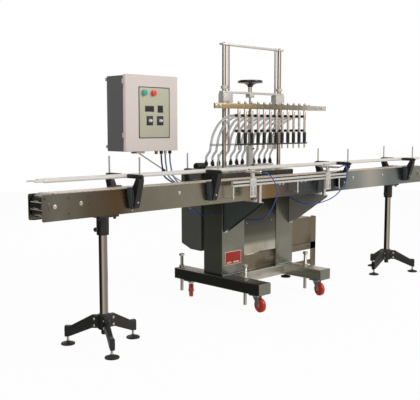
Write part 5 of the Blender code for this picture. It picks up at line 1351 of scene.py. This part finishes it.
for x in (0.020, 0.052):
    screws.append(round_head((x, 0.0625, 1.5010), (0, -1, 0), 0.0052, 0.0045))
    screws += bolt((x, post_y, 1.5288), (0, 0, 1), 0.0060, 0.0045, washer=0.001)
for x in (-0.262, -0.226, 0.352, 0.398):
    screws += bolt((x, post_y + 0.001 * (1 if x > 0 else -1), 1.5288), (0, 0, 1), 0.0052, 0.0010)
piece("head_arms", skins, bar_steel, body="filling_head")
piece("head_seals", seals, black_rubber, body="filling_head", slot="black_plastic")
piece("crosshead_bolts", screws, bolt_steel, body="filling_head")

# %% Nozzle bar
nozzle_x = -0.417 + pitch * np.arange(nozzle_count)
nozzle_y, bar_z = -0.220, 1.410
bar_x = (-0.654, 0.564)
skins = [block(bar_x, (-0.2268, -0.2132), (1.3922, 1.4278), 0.0012)]
piece("nozzle_bar_flat", skins, nozzle_bar_painted_reflection, body="filling_head", stands_for=("nozzle_bar",))
cap = [block((bar_x[1] - 0.0035, bar_x[1] - 0.0001), (-0.2272, -0.2128), (1.3918, 1.4282), 0.0008)]
piece("nozzle_bar_end_cap", cap, black_nylon, body="filling_head")
screws, dark = [], []
for x in (-0.640, -0.600, 0.446, 0.520):
    screws += bolt((x, -0.2268, bar_z), (0, -1, 0), 0.0075, 0.0045, washer=0.0012)
for x in nozzle_x + pitch / 2:
    screws.append(round_head((x, -0.2268, bar_z), (0, -1, 0), 0.0034, 0.0022))
# Two holes in the bar's face are black discs: painted shade in the holes.
for x in (0.480, 0.500):
    dark.append(bar((x, -0.2272, bar_z), (x, -0.2250, bar_z), 0.0045, 0.0001))
piece("nozzle_bar_bolts", screws, bolt_steel, body="filling_head")
piece("nozzle_bar_holes_painted_shade", dark, black_rubber, body="filling_head", slot="black_plastic")
print("nozzles:", nozzle_count, "over", round(float(nozzle_x[-1] - nozzle_x[0]), 3), "m")

# %% [markdown]
# A nozzle is one long turned piece: a screw head above the bar, a bright body with two
# shoulders, a black sleeve with grip rings and a thin tip. Two black elbows at its back take
# the hoses. All twelve use the same profiles, each riding as a piece of its own.

# %% Nozzles
upper = [(1.3255, 0.0090), (1.3262, 0.0110), (1.342, 0.0110), (1.3425, 0.0102), (1.3445, 0.0102),
         (1.3450, 0.0110), (1.3880, 0.0110), (1.3915, 0.0098)]
lower = [(1.2322, 0.0080), (1.2330, 0.0090), (1.262, 0.0090), (1.2625, 0.0084), (1.2645, 0.0084),
         (1.2650, 0.0090), (1.3256, 0.0090)]
sleeve = [(1.1557, 0.0105), (1.1572, 0.0126), (1.170, 0.0129)]
for z in np.arange(1.1735, 1.2200, 0.0070):
    sleeve += [(z, 0.0129), (z + 0.0008, 0.0121), (z + 0.0022, 0.0121), (z + 0.0030, 0.0129)]
sleeve += [(1.2290, 0.0129), (1.2318, 0.0108)]
tip = [(1.1152, 0.0040), (1.1160, 0.0058), (1.1350, 0.0060), (1.1556, 0.0060)]
for k, x in enumerate(nozzle_x):
    node_name = f"nozzle_{k + 1:02d}"
    centre = (x, nozzle_y, 0)
    body_skins = [turned(upper, centre, sides=24), turned(lower, centre, sides=24)]
    piece(f"{node_name}_body", body_skins, nozzle_steel, body="filling_head", stands_for=(node_name,))
    dark = [turned(sleeve, centre, sides=28)]
    for z in (1.348, 1.243):
        dark.append(turned([(0, 0.0072), (0.0015, 0.0078), (0.011, 0.0078), (0.0115, 0.0066),
                            (0.0135, 0.0066), (0.014, 0.0098), (0.016, 0.0102), (0.0265, 0.0102),
                            (0.0298, 0.0078)], (x, -0.2158, z), (0, 1, 0), 20))
    piece(f"{node_name}_sleeve", dark, black_nylon, body="filling_head")
    bright = [turned(tip, centre, sides=20),
              turned([(1.4278, 0.0082), (1.4295, 0.0100), (1.4330, 0.0106), (1.4380, 0.0106),
                      (1.4415, 0.0092), (1.4440, 0.0062), (1.4450, 0.0020)], centre, sides=20)]
    piece(f"{node_name}_tip", bright, bolt_steel, body="filling_head")

skins = [block((-0.441, 0.333), (-0.2308, -0.2092), (1.1452, 1.1548), 0.0015)]
piece("tip_rail_strip", skins, black_nylon, body="filling_head", stands_for=("tip_rail",))
print("nozzle pieces:", 3 * nozzle_count)

# %% [markdown]
# The handwheel is a dished disc of black bakelite with a grip rim. Its boss and spindle are
# steel.

# %% Handwheel
wheel_z = 1.606
profile = np.array([(0, 4), (30, 4), (60, 4.2), (70, 7), (79, 10.8), (86, 11.2), (91, 9.6), (94, 5), (95, 0),
                    (94, -5), (91, -8.6), (85, -10.2), (77, -9.6), (70, -8), (60, -9), (30, -21.6), (22, -28),
                    (18, -39.6), (0.1, -39.8)]) / 1000
turn_angle = np.arange(96) * 2 * pi / 96
rings = []
for radius, height in profile:
    # The dish is 3 mm lower between four broad spokes, which fade out at the hub and the rim.
    web = np.clip(sin(pi * min(max((radius - 0.022) / 0.055, 0), 1)), 0, 1)
    drop = 0.0030 * web * (0.5 + 0.5 * np.cos(4 * turn_angle))
    z = wheel_z + height - (drop if height > 0 else -drop)
    rings.append(np.stack([lift_x + radius * np.cos(turn_angle), post_y + radius * np.sin(turn_angle), z],
                          -1))
rings[0] = np.stack([lift_x + 0.0005 * np.cos(turn_angle), post_y + 0.0005 * np.sin(turn_angle),
                     np.full(96, wheel_z + 0.004)], -1)
piece("handwheel_dish", [np.array(rings)], bakelite, body="handwheel", stands_for=("handwheel",))
steel = [turned([(wheel_z + 0.0038, 0.0110), (wheel_z + 0.0060, 0.0110), (wheel_z + 0.0072, 0.0100)],
                (lift_x, post_y, 0), sides=28),
         turned([(wheel_z + 0.0070, 0.0075), (wheel_z + 0.0105, 0.0075), (wheel_z + 0.0108, 0.0066)],
                (lift_x, post_y, 0), sides=6)]
steel += [turned([(1.5295, 0.0132), (1.5305, 0.0140), (wheel_z - 0.0392, 0.0140)],
                 (lift_x, post_y, 0), sides=32),
          turned([(1.2905, 0.0068), (1.2915, 0.0079), (1.5300, 0.0079)], (lift_x, post_y, 0), sides=24)]
piece("handwheel_spindle", steel, post_steel_painted_reflection, body="handwheel")
print("handwheel ring sides:", len(turn_angle))

# %% [markdown]
# ## Product hoses
#
# Each clear hose leaves a nozzle's upper elbow, arcs back and down between the posts, goes
# through the clip strip and ends on its valve. The nozzle end moves with the head and the far
# end stays; the hoses are one object that rides on no body.

# %% Clear hoses
hose_radius = 0.0090
passing_x = (-0.364, -0.298, -0.217, -0.166, -0.100, -0.040, -0.012, 0.085, 0.145, 0.205, 0.260, 0.304)
clip_y, clip_z = 0.126, 1.140


def hose_line(k):
    """One hose: from its nozzle to its place between the posts, then a drop to its valve."""
    x, passing, end = nozzle_x[k], passing_x[k], valve_x[k]
    first, second = passing - x, end - passing
    points = [(x, -0.1855, 1.348), (x, -0.144, 1.346), (x + 0.15 * first, -0.080, 1.328),
              (x + 0.40 * first, -0.020, 1.300), (x + 0.70 * first, 0.035, 1.258), (passing, 0.085, 1.200),
              (passing + 0.35 * second, clip_y, clip_z), (passing + 0.65 * second, 0.158, 1.095),
              (passing + 0.88 * second, 0.196, 1.070), (end, valve_y, valve_top + 0.019),
              (end, valve_y, valve_top + 0.0005)]
    return rounded(points, 6)


hoses = [swept(hose_line(k), circle(hose_radius, 14)) for k in range(nozzle_count)]
hose = piece("clear_product_hoses", hoses, clear_hose, body=None, stands_for=("product_hoses",), crease=60)
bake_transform(hose)
strip_ends = [0.65 * passing_x[k] + 0.35 * valve_x[k] for k in (0, -1)]
skins = [block((strip_ends[0] - 0.010, strip_ends[1] + 0.010), (clip_y - 0.0028, clip_y + 0.0028),
               (clip_z - 0.0078, clip_z + 0.0078), 0.001)]
piece("hose_clip_strip", skins, clear_hose)
print("hose points:", len(hose_line(0)))

# %% [markdown]
# ## The control box
#
# A sheet steel cabinet hangs on the brace at the left. Its body is dark grey and its door is
# pale beige, folded from one sheet with soft edges and standing proud of a dark rubber gasket.
# Body, door, frame, buttons and knobs are separate, because the door swings and each button
# and knob moves on its own.

# %% Control box body
box_x, box_y, box_z = (-1.166, -0.724), (0.085, 0.262), (1.112, 1.603)
wall = 0.002


def tray(x, y, z, thick, corner=0.006, open_low=True):
    """A box open at its front (low y): an outer skin that turns in at the rim and goes back inside."""
    steps = np.linspace(0, pi / 2, 5)
    u = np.concatenate([steps + k * pi / 2 for k in range(4)])
    signs = np.repeat(np.array([[1, 1], [-1, 1], [-1, -1], [1, -1]]), 5, axis=0)
    centre = np.array([sum(x) / 2, sum(z) / 2])
    half = np.array([x[1] - x[0], z[1] - z[0]]) / 2

    def ring(shrink, level, radius):
        flat = signs * (half - shrink - radius) + radius * np.stack([np.cos(u), np.sin(u)], -1) + centre
        return np.stack([flat[:, 0], np.full(len(u), level), flat[:, 1]], -1)

    back, front = (y[1], y[0]) if open_low else (y[0], y[1])
    inward = 1 if open_low else -1
    inner = max(corner - thick, 0.001)
    return np.array([ring(0.0015, back, corner), ring(0, back - inward * 0.0015, corner),
                     ring(0, front, corner), ring(thick, front, inner),
                     ring(thick, back - inward * thick, inner),
                     ring(half.min() * 0.9, back - inward * thick, 0.001)])


# The body is a little smaller than the door and stands back from it behind a dark gasket.
body_x, body_z = (box_x[0] + 0.006, box_x[1] - 0.006), (box_z[0], box_z[1] - 0.006)
body_tray = tray(body_x, (box_y[0] + 0.0080, box_y[1]), body_z, wall)
piece("control_box_case", [body_tray], box_grey, stands_for=("control_box_body",), crease=30)
gasket = []
for x in ((body_x[0] + 0.003, body_x[0] + 0.014), (body_x[1] - 0.014, body_x[1] - 0.003)):
    gasket.append(block(x, (box_y[0] + 0.0003, box_y[0] + 0.0095),
                        (body_z[0] + 0.003, body_z[1] - 0.003), 0.001))
for z in ((body_z[0] + 0.003, body_z[0] + 0.014), (body_z[1] - 0.014, body_z[1] - 0.003)):
    gasket.append(block((body_x[0] + 0.003, body_x[1] - 0.003), (box_y[0] + 0.0003, box_y[0] + 0.0095),
                        z, 0.001))
piece("control_box_gasket", gasket, black_rubber, slot="box_grey")
tabs = []
for x in ((box_x[0] - 0.006, body_x[0] + 0.004), (body_x[1] - 0.004, box_x[1] + 0.004)):
    for z in (body_z[0] + 0.030, body_z[1] - 0.022):
        tabs.append(block(x, (box_y[1] - 0.0035, box_y[1] - 0.0005), (z - 0.010, z + 0.010), 0.0008))
piece("control_box_tabs", tabs, satin_block, slot="stainless_sheet")
mounting = [block((-1.140, -0.750), (0.2520, 0.2545), (1.140, 1.575), 0.001)]
piece("control_box_mounting_plate", mounting, zinc, slot="stainless_sheet")
inside = [block((-1.110, -0.990), (0.200, 0.2515), (1.400, 1.540), 0.004),
          block((-0.960, -0.880), (0.190, 0.2515), (1.410, 1.540), 0.003),
          block((-0.850, -0.780), (0.205, 0.2515), (1.400, 1.530), 0.003)]
piece("controller_and_relays", inside, black_nylon)
rail_and_terminals = [block((-1.120, -0.770), (0.240, 0.2515), (1.262, 1.272), 0.001)]
rail_and_terminals += [block((x, x + 0.0075), (0.205, 0.2510), (1.235, 1.300), 0.001)
                       for x in np.arange(-1.10, -0.80, 0.0085)]
piece("terminal_row", rail_and_terminals, cast_aluminium)
print("control box", round(box_x[1] - box_x[0], 3), "by", round(box_z[1] - box_z[0], 3))

# %% Glands under the box
gold, black, clear_parts = [], [], []
gland_y = 0.118
for x, radius, finish_list in ((-0.865, 0.012, gold), (-0.821, 0.013, black), (-0.785, 0.012, clear_parts),
                               (-0.744, 0.013, black)):
    finish_list.append(turned([(1.1118, radius * 0.99), (1.1060, radius), (1.1050, radius)],
                              (x, gland_y, 0), sides=6))
    finish_list.append(turned([(1.1052, radius * 0.86), (1.0990, radius * 0.86), (1.0985, radius * 0.94),
                               (1.0910, radius * 0.90), (1.0885, radius * 0.62)], (x, gland_y, 0), sides=28))
piece("brass_gland", gold, brass, slot="black_plastic")
piece("black_glands", black, black_nylon)
piece("clear_gland", clear_parts, white_plastic, slot="black_plastic")

# %% [markdown]
# The door is a shallow tray that faces back. The hinge is a row of four small knuckles: two
# on the body and two on the door. The dark instrument panel sits in a frame on the door, with
# a digital display, a plain switch plate, two push buttons in pale collars and two knobs on
# dark plates.

# %% Door and hinge
door_y = (0.0597, 0.0847)
door_tray = tray(box_x, door_y, box_z, wall, corner=0.008, open_low=False)
piece("control_box_door_panel", [door_tray], door_beige, body="control_box_door",
      stands_for=("control_box_door",), crease=30)
seal = []
inner = 0.004
for x in (box_x[0] + inner, box_x[1] - inner - 0.008):
    seal.append(block((x, x + 0.008), (door_y[1] - 0.006, door_y[1] - 0.0003),
                      (box_z[0] + inner, box_z[1] - inner), 0.001))
for z in (box_z[0] + inner, box_z[1] - inner - 0.008):
    seal.append(block((box_x[0] + inner, box_x[1] - inner), (door_y[1] - 0.006, door_y[1] - 0.0003),
                      (z, z + 0.008), 0.001))
piece("door_gasket", seal, black_rubber, body="control_box_door", slot="box_grey")
hinge_x, hinge_y = -1.170, 0.085
for carried_by, starts in (("root", (1.172, 1.513)), ("control_box_door", (1.2023, 1.5433))):
    knuckles = [bar((hinge_x, hinge_y, z), (hinge_x, hinge_y, z + 0.0297), 0.0034, 0.0005) for z in starts]
    if carried_by == "root":
        # Two leaves join the knuckles to the body behind the gasket.
        for z in starts:
            knuckles.append(block((hinge_x, body_x[0] + 0.003), (0.0860, 0.0885),
                                  (z + 0.001, z + 0.0287), 0.0006))
            knuckles.append(block((body_x[0] - 0.0015, body_x[0] + 0.003), (0.0865, 0.1150),
                                  (z + 0.001, z + 0.0287), 0.0006))
    piece(f"hinge_knuckles_{carried_by}", knuckles, box_grey if carried_by == "root" else door_beige,
          body=carried_by, slot="box_grey" if carried_by == "root" else "box_beige")

# %% Instrument panel
frame_x, frame_z = (-1.060, -0.797), (1.197, 1.528)
front = 0.0567
border = 0.005
skins = []
for x in ((frame_x[0], frame_x[0] + border), (frame_x[1] - border, frame_x[1])):
    skins.append(block(x, (front, 0.0598), frame_z, 0.0008))
for z in ((frame_z[0], frame_z[0] + border), (frame_z[1] - border, frame_z[1])):
    skins.append(block(frame_x, (front, 0.0598), z, 0.0008))
piece("panel_frame", skins, black_nylon, body="control_box_door")
panel_face = front + 0.0014
skins = [block((frame_x[0] + 0.004, frame_x[1] - 0.004), (panel_face, 0.0597),
               (frame_z[0] + 0.004, frame_z[1] - 0.004), 0.0005)]
piece("panel_face", skins, panel_olive, body="control_box_door")


def face_block(x, z, out, edge=0.0008):
    """A flat fitting on the panel, that stands out from its face by an amount."""
    return block(x, (panel_face - out, panel_face + 0.0003), z, edge)


piece("display_frame", [face_block((-1.009, -0.933), (1.368, 1.406), 0.0012)], black_nylon,
      body="control_box_door")
piece("display_glass", [face_block((-1.002, -0.940), (1.375, 1.399), 0.0017, 0.0004)], dark_glass,
      body="control_box_door")
piece("switch_plate", [face_block((-0.902, -0.856), (1.363, 1.410), 0.0014)], dark_glass,
      body="control_box_door")
skins = [face_block((-0.997, -0.943), (1.280, 1.341), 0.0012),
         face_block((-0.909, -0.853), (1.280, 1.341), 0.0012)]
piece("knob_plates", skins, knob_plate, body="control_box_door")
knob_x, knob_z = (-0.970, -0.881), 1.311
ticks = []
for centre_x in knob_x:
    for k in range(11):
        angle = radians(-140 + 28 * k)
        middle = np.array([centre_x + 0.0165 * sin(angle), panel_face - 0.0012, knob_z + 0.0165 * cos(angle)])
        spoke = np.array([sin(angle), 0, cos(angle)]) * 0.0022
        ticks.append(bar(middle - spoke, middle + spoke, 0.00035, 0.0001, 6))
piece("knob_scale", ticks, white_plastic, body="control_box_door", slot="knob_white")
screws = [round_head((x, panel_face, z), (0, -1, 0), 0.0036, 0.0016) for x in (-1.048, -0.809)
          for z in (1.209, 1.516)]
piece("panel_screws", screws, bolt_steel, body="control_box_door")
strips = [face_block((x - 0.016, x + 0.016), (1.452, 1.460), 0.0008, 0.0003) for x in (-1.018, -0.940)]
piece("button_label_strips", strips, plate_pale, body="control_box_door", slot="aluminium")
print("panel", round(frame_x[1] - frame_x[0], 3), "by", round(frame_z[1] - frame_z[0], 3))

# %% Buttons and knobs
for node_name, x, finish, slot_name in (("start_button", -1.018, teal_cap, "button_green"),
                                        ("stop_button", -0.940, red_cap, "button_red")):
    centre = (x, 0, 1.489)
    collar = [turned([(0.0590, 0.0205), (0.0562, 0.0218), (0.0548, 0.0218), (0.0545, 0.0205),
                      (0.0545, 0.0197), (0.0583, 0.0193)], centre, (0, 1, 0), 36)]
    piece(f"{node_name}_collar", collar, plate_pale, body="control_box_door", slot="aluminium")
    dome = [(0.0540, 0.0170), (0.0535, 0.0186), (0.0430, 0.0188), (0.0412, 0.0180), (0.0402, 0.0160),
            (0.0398, 0.0110), (0.0402, 0.0020)]
    piece(f"{node_name}_cap", [turned(dome, centre, (0, 1, 0), 36)], finish, body=node_name,
          stands_for=(node_name,), slot=slot_name)
for node_name, x in zip(("speed_knob", "volume_knob"), knob_x):
    low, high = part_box(node_name)
    face, back = float(low[1]), panel_face - 0.0008
    grips = 40
    u = np.arange(grips * 2) * pi / grips
    wave = 0.00045 * np.cos(u * 20)
    rings = []
    for y, radius, share in ((back, 0.0094, 0), (back - 0.002, 0.0098, 0), (back - 0.003, 0.0092, 1),
                             (face + 0.0040, 0.0086, 1), (face + 0.0015, 0.0080, 0.6),
                             (face + 0.0003, 0.0066, 0)):
        r = radius + wave * share
        rings.append(np.stack([x + r * np.cos(u), np.full(len(u), y), knob_z + r * np.sin(u)], -1))
    piece(f"{node_name}_cap", [np.array(rings)], white_plastic, body=node_name, stands_for=(node_name,),
          slot="knob_white")
    mark = [block((x - 0.0008, x + 0.0008), (face - 0.0001, face + 0.0012), (1.3125, 1.3185), 0.0003, 1)]
    piece(f"{node_name}_pointer", mark, black_nylon, body=node_name)
print("buttons and knobs: 4")

# %% [markdown]
# ## Air hoses and cables
#
# Three blue air hoses and three cables lie free between their fittings. Each is a curve whose
# one line goes through the same points as the engineering model's, with a round bevel.


def tube(name, points, radius, finish):
    """A round tube as a curve object: one open line with a bevel, capped at both ends."""
    data = bpy.data.curves.new(name, "CURVE")
    data.dimensions = "3D"
    data.bevel_depth = radius
    data.bevel_resolution = 3
    data.use_fill_caps = True
    line = data.splines.new("POLY")
    line.points.add(len(points) - 1)
    line.points.foreach_set("co", np.column_stack([points, np.ones(len(points))]).ravel())
    line.use_smooth = True
    data.materials.append(finish)
    made = bpy.data.objects.new(name, data)
    bpy.context.scene.collection.objects.link(made)
    return made


air_routes = {
    "air_hose_left": [
        (-0.424, -0.4446, 0.972), (-0.424, -0.452, 0.972), (-0.400, -0.468, 0.962), (-0.345, -0.466, 0.922),
        (-0.287, -0.448, 0.868), (-0.235, -0.415, 0.815), (-0.207, -0.370, 0.762), (-0.180, -0.320, 0.705),
        (-0.160, -0.270, 0.655), (-0.152, -0.200, 0.613), (-0.165, -0.120, 0.602), (-0.188, -0.055, 0.606),
        (-0.200, -0.020, 0.610), (-0.200, -0.0108, 0.610)],
    "air_hose_right": [
        (0.426, -0.4546, 0.972), (0.426, -0.461, 0.972), (0.458, -0.474, 0.985), (0.500, -0.468, 0.974),
        (0.522, -0.462, 0.932), (0.526, -0.445, 0.848), (0.477, -0.415, 0.774), (0.420, -0.405, 0.742),
        (0.367, -0.398, 0.727), (0.300, -0.370, 0.708), (0.248, -0.330, 0.700), (0.240, -0.250, 0.706),
        (0.262, -0.160, 0.722), (0.300, -0.080, 0.736), (0.330, -0.022, 0.742), (0.330, -0.0108, 0.742)],
    "air_hose_sensor": [
        (-0.897, -0.235, 0.7722), (-0.896, -0.235, 0.765), (-0.860, -0.215, 0.745), (-0.774, -0.160, 0.722),
        (-0.680, -0.100, 0.690), (-0.582, -0.040, 0.667), (-0.480, 0.030, 0.655), (-0.420, 0.070, 0.652),
        (-0.372, 0.086, 0.653), (-0.3618, 0.086, 0.653)],
}
hose_thickness = 0.0080
for node_name, route in air_routes.items():
    points = rounded(route, 8)
    made = tube(f"{node_name}_tube", points, hose_thickness / 2, blue_tube)
    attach(made, "root")
    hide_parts(node_name)

cable_thickness = 0.011
for k, (x, finish) in enumerate(((-0.821, black_cable), (-0.785, grey_blue_cable),
                                 (-0.744, grey_blue_cable))):
    route = [(x, gland_y, 1.0875), (x, gland_y, 1.070), (x + 0.006, 0.116, 1.010), (x + 0.030, 0.112, 0.930),
             (-0.640 + 0.004 * k, 0.095, 0.850), (-0.520, 0.070, 0.810 + 0.003 * k), (-0.420, 0.052, 0.800),
             (-0.372, 0.050, 0.800), (-0.3618, 0.050, 0.800)]
    points = rounded(route, 8)
    made = tube(f"control_cable_{k + 1}", points, cable_thickness / 2, finish)
    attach(made, "root")
    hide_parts("control_cables")
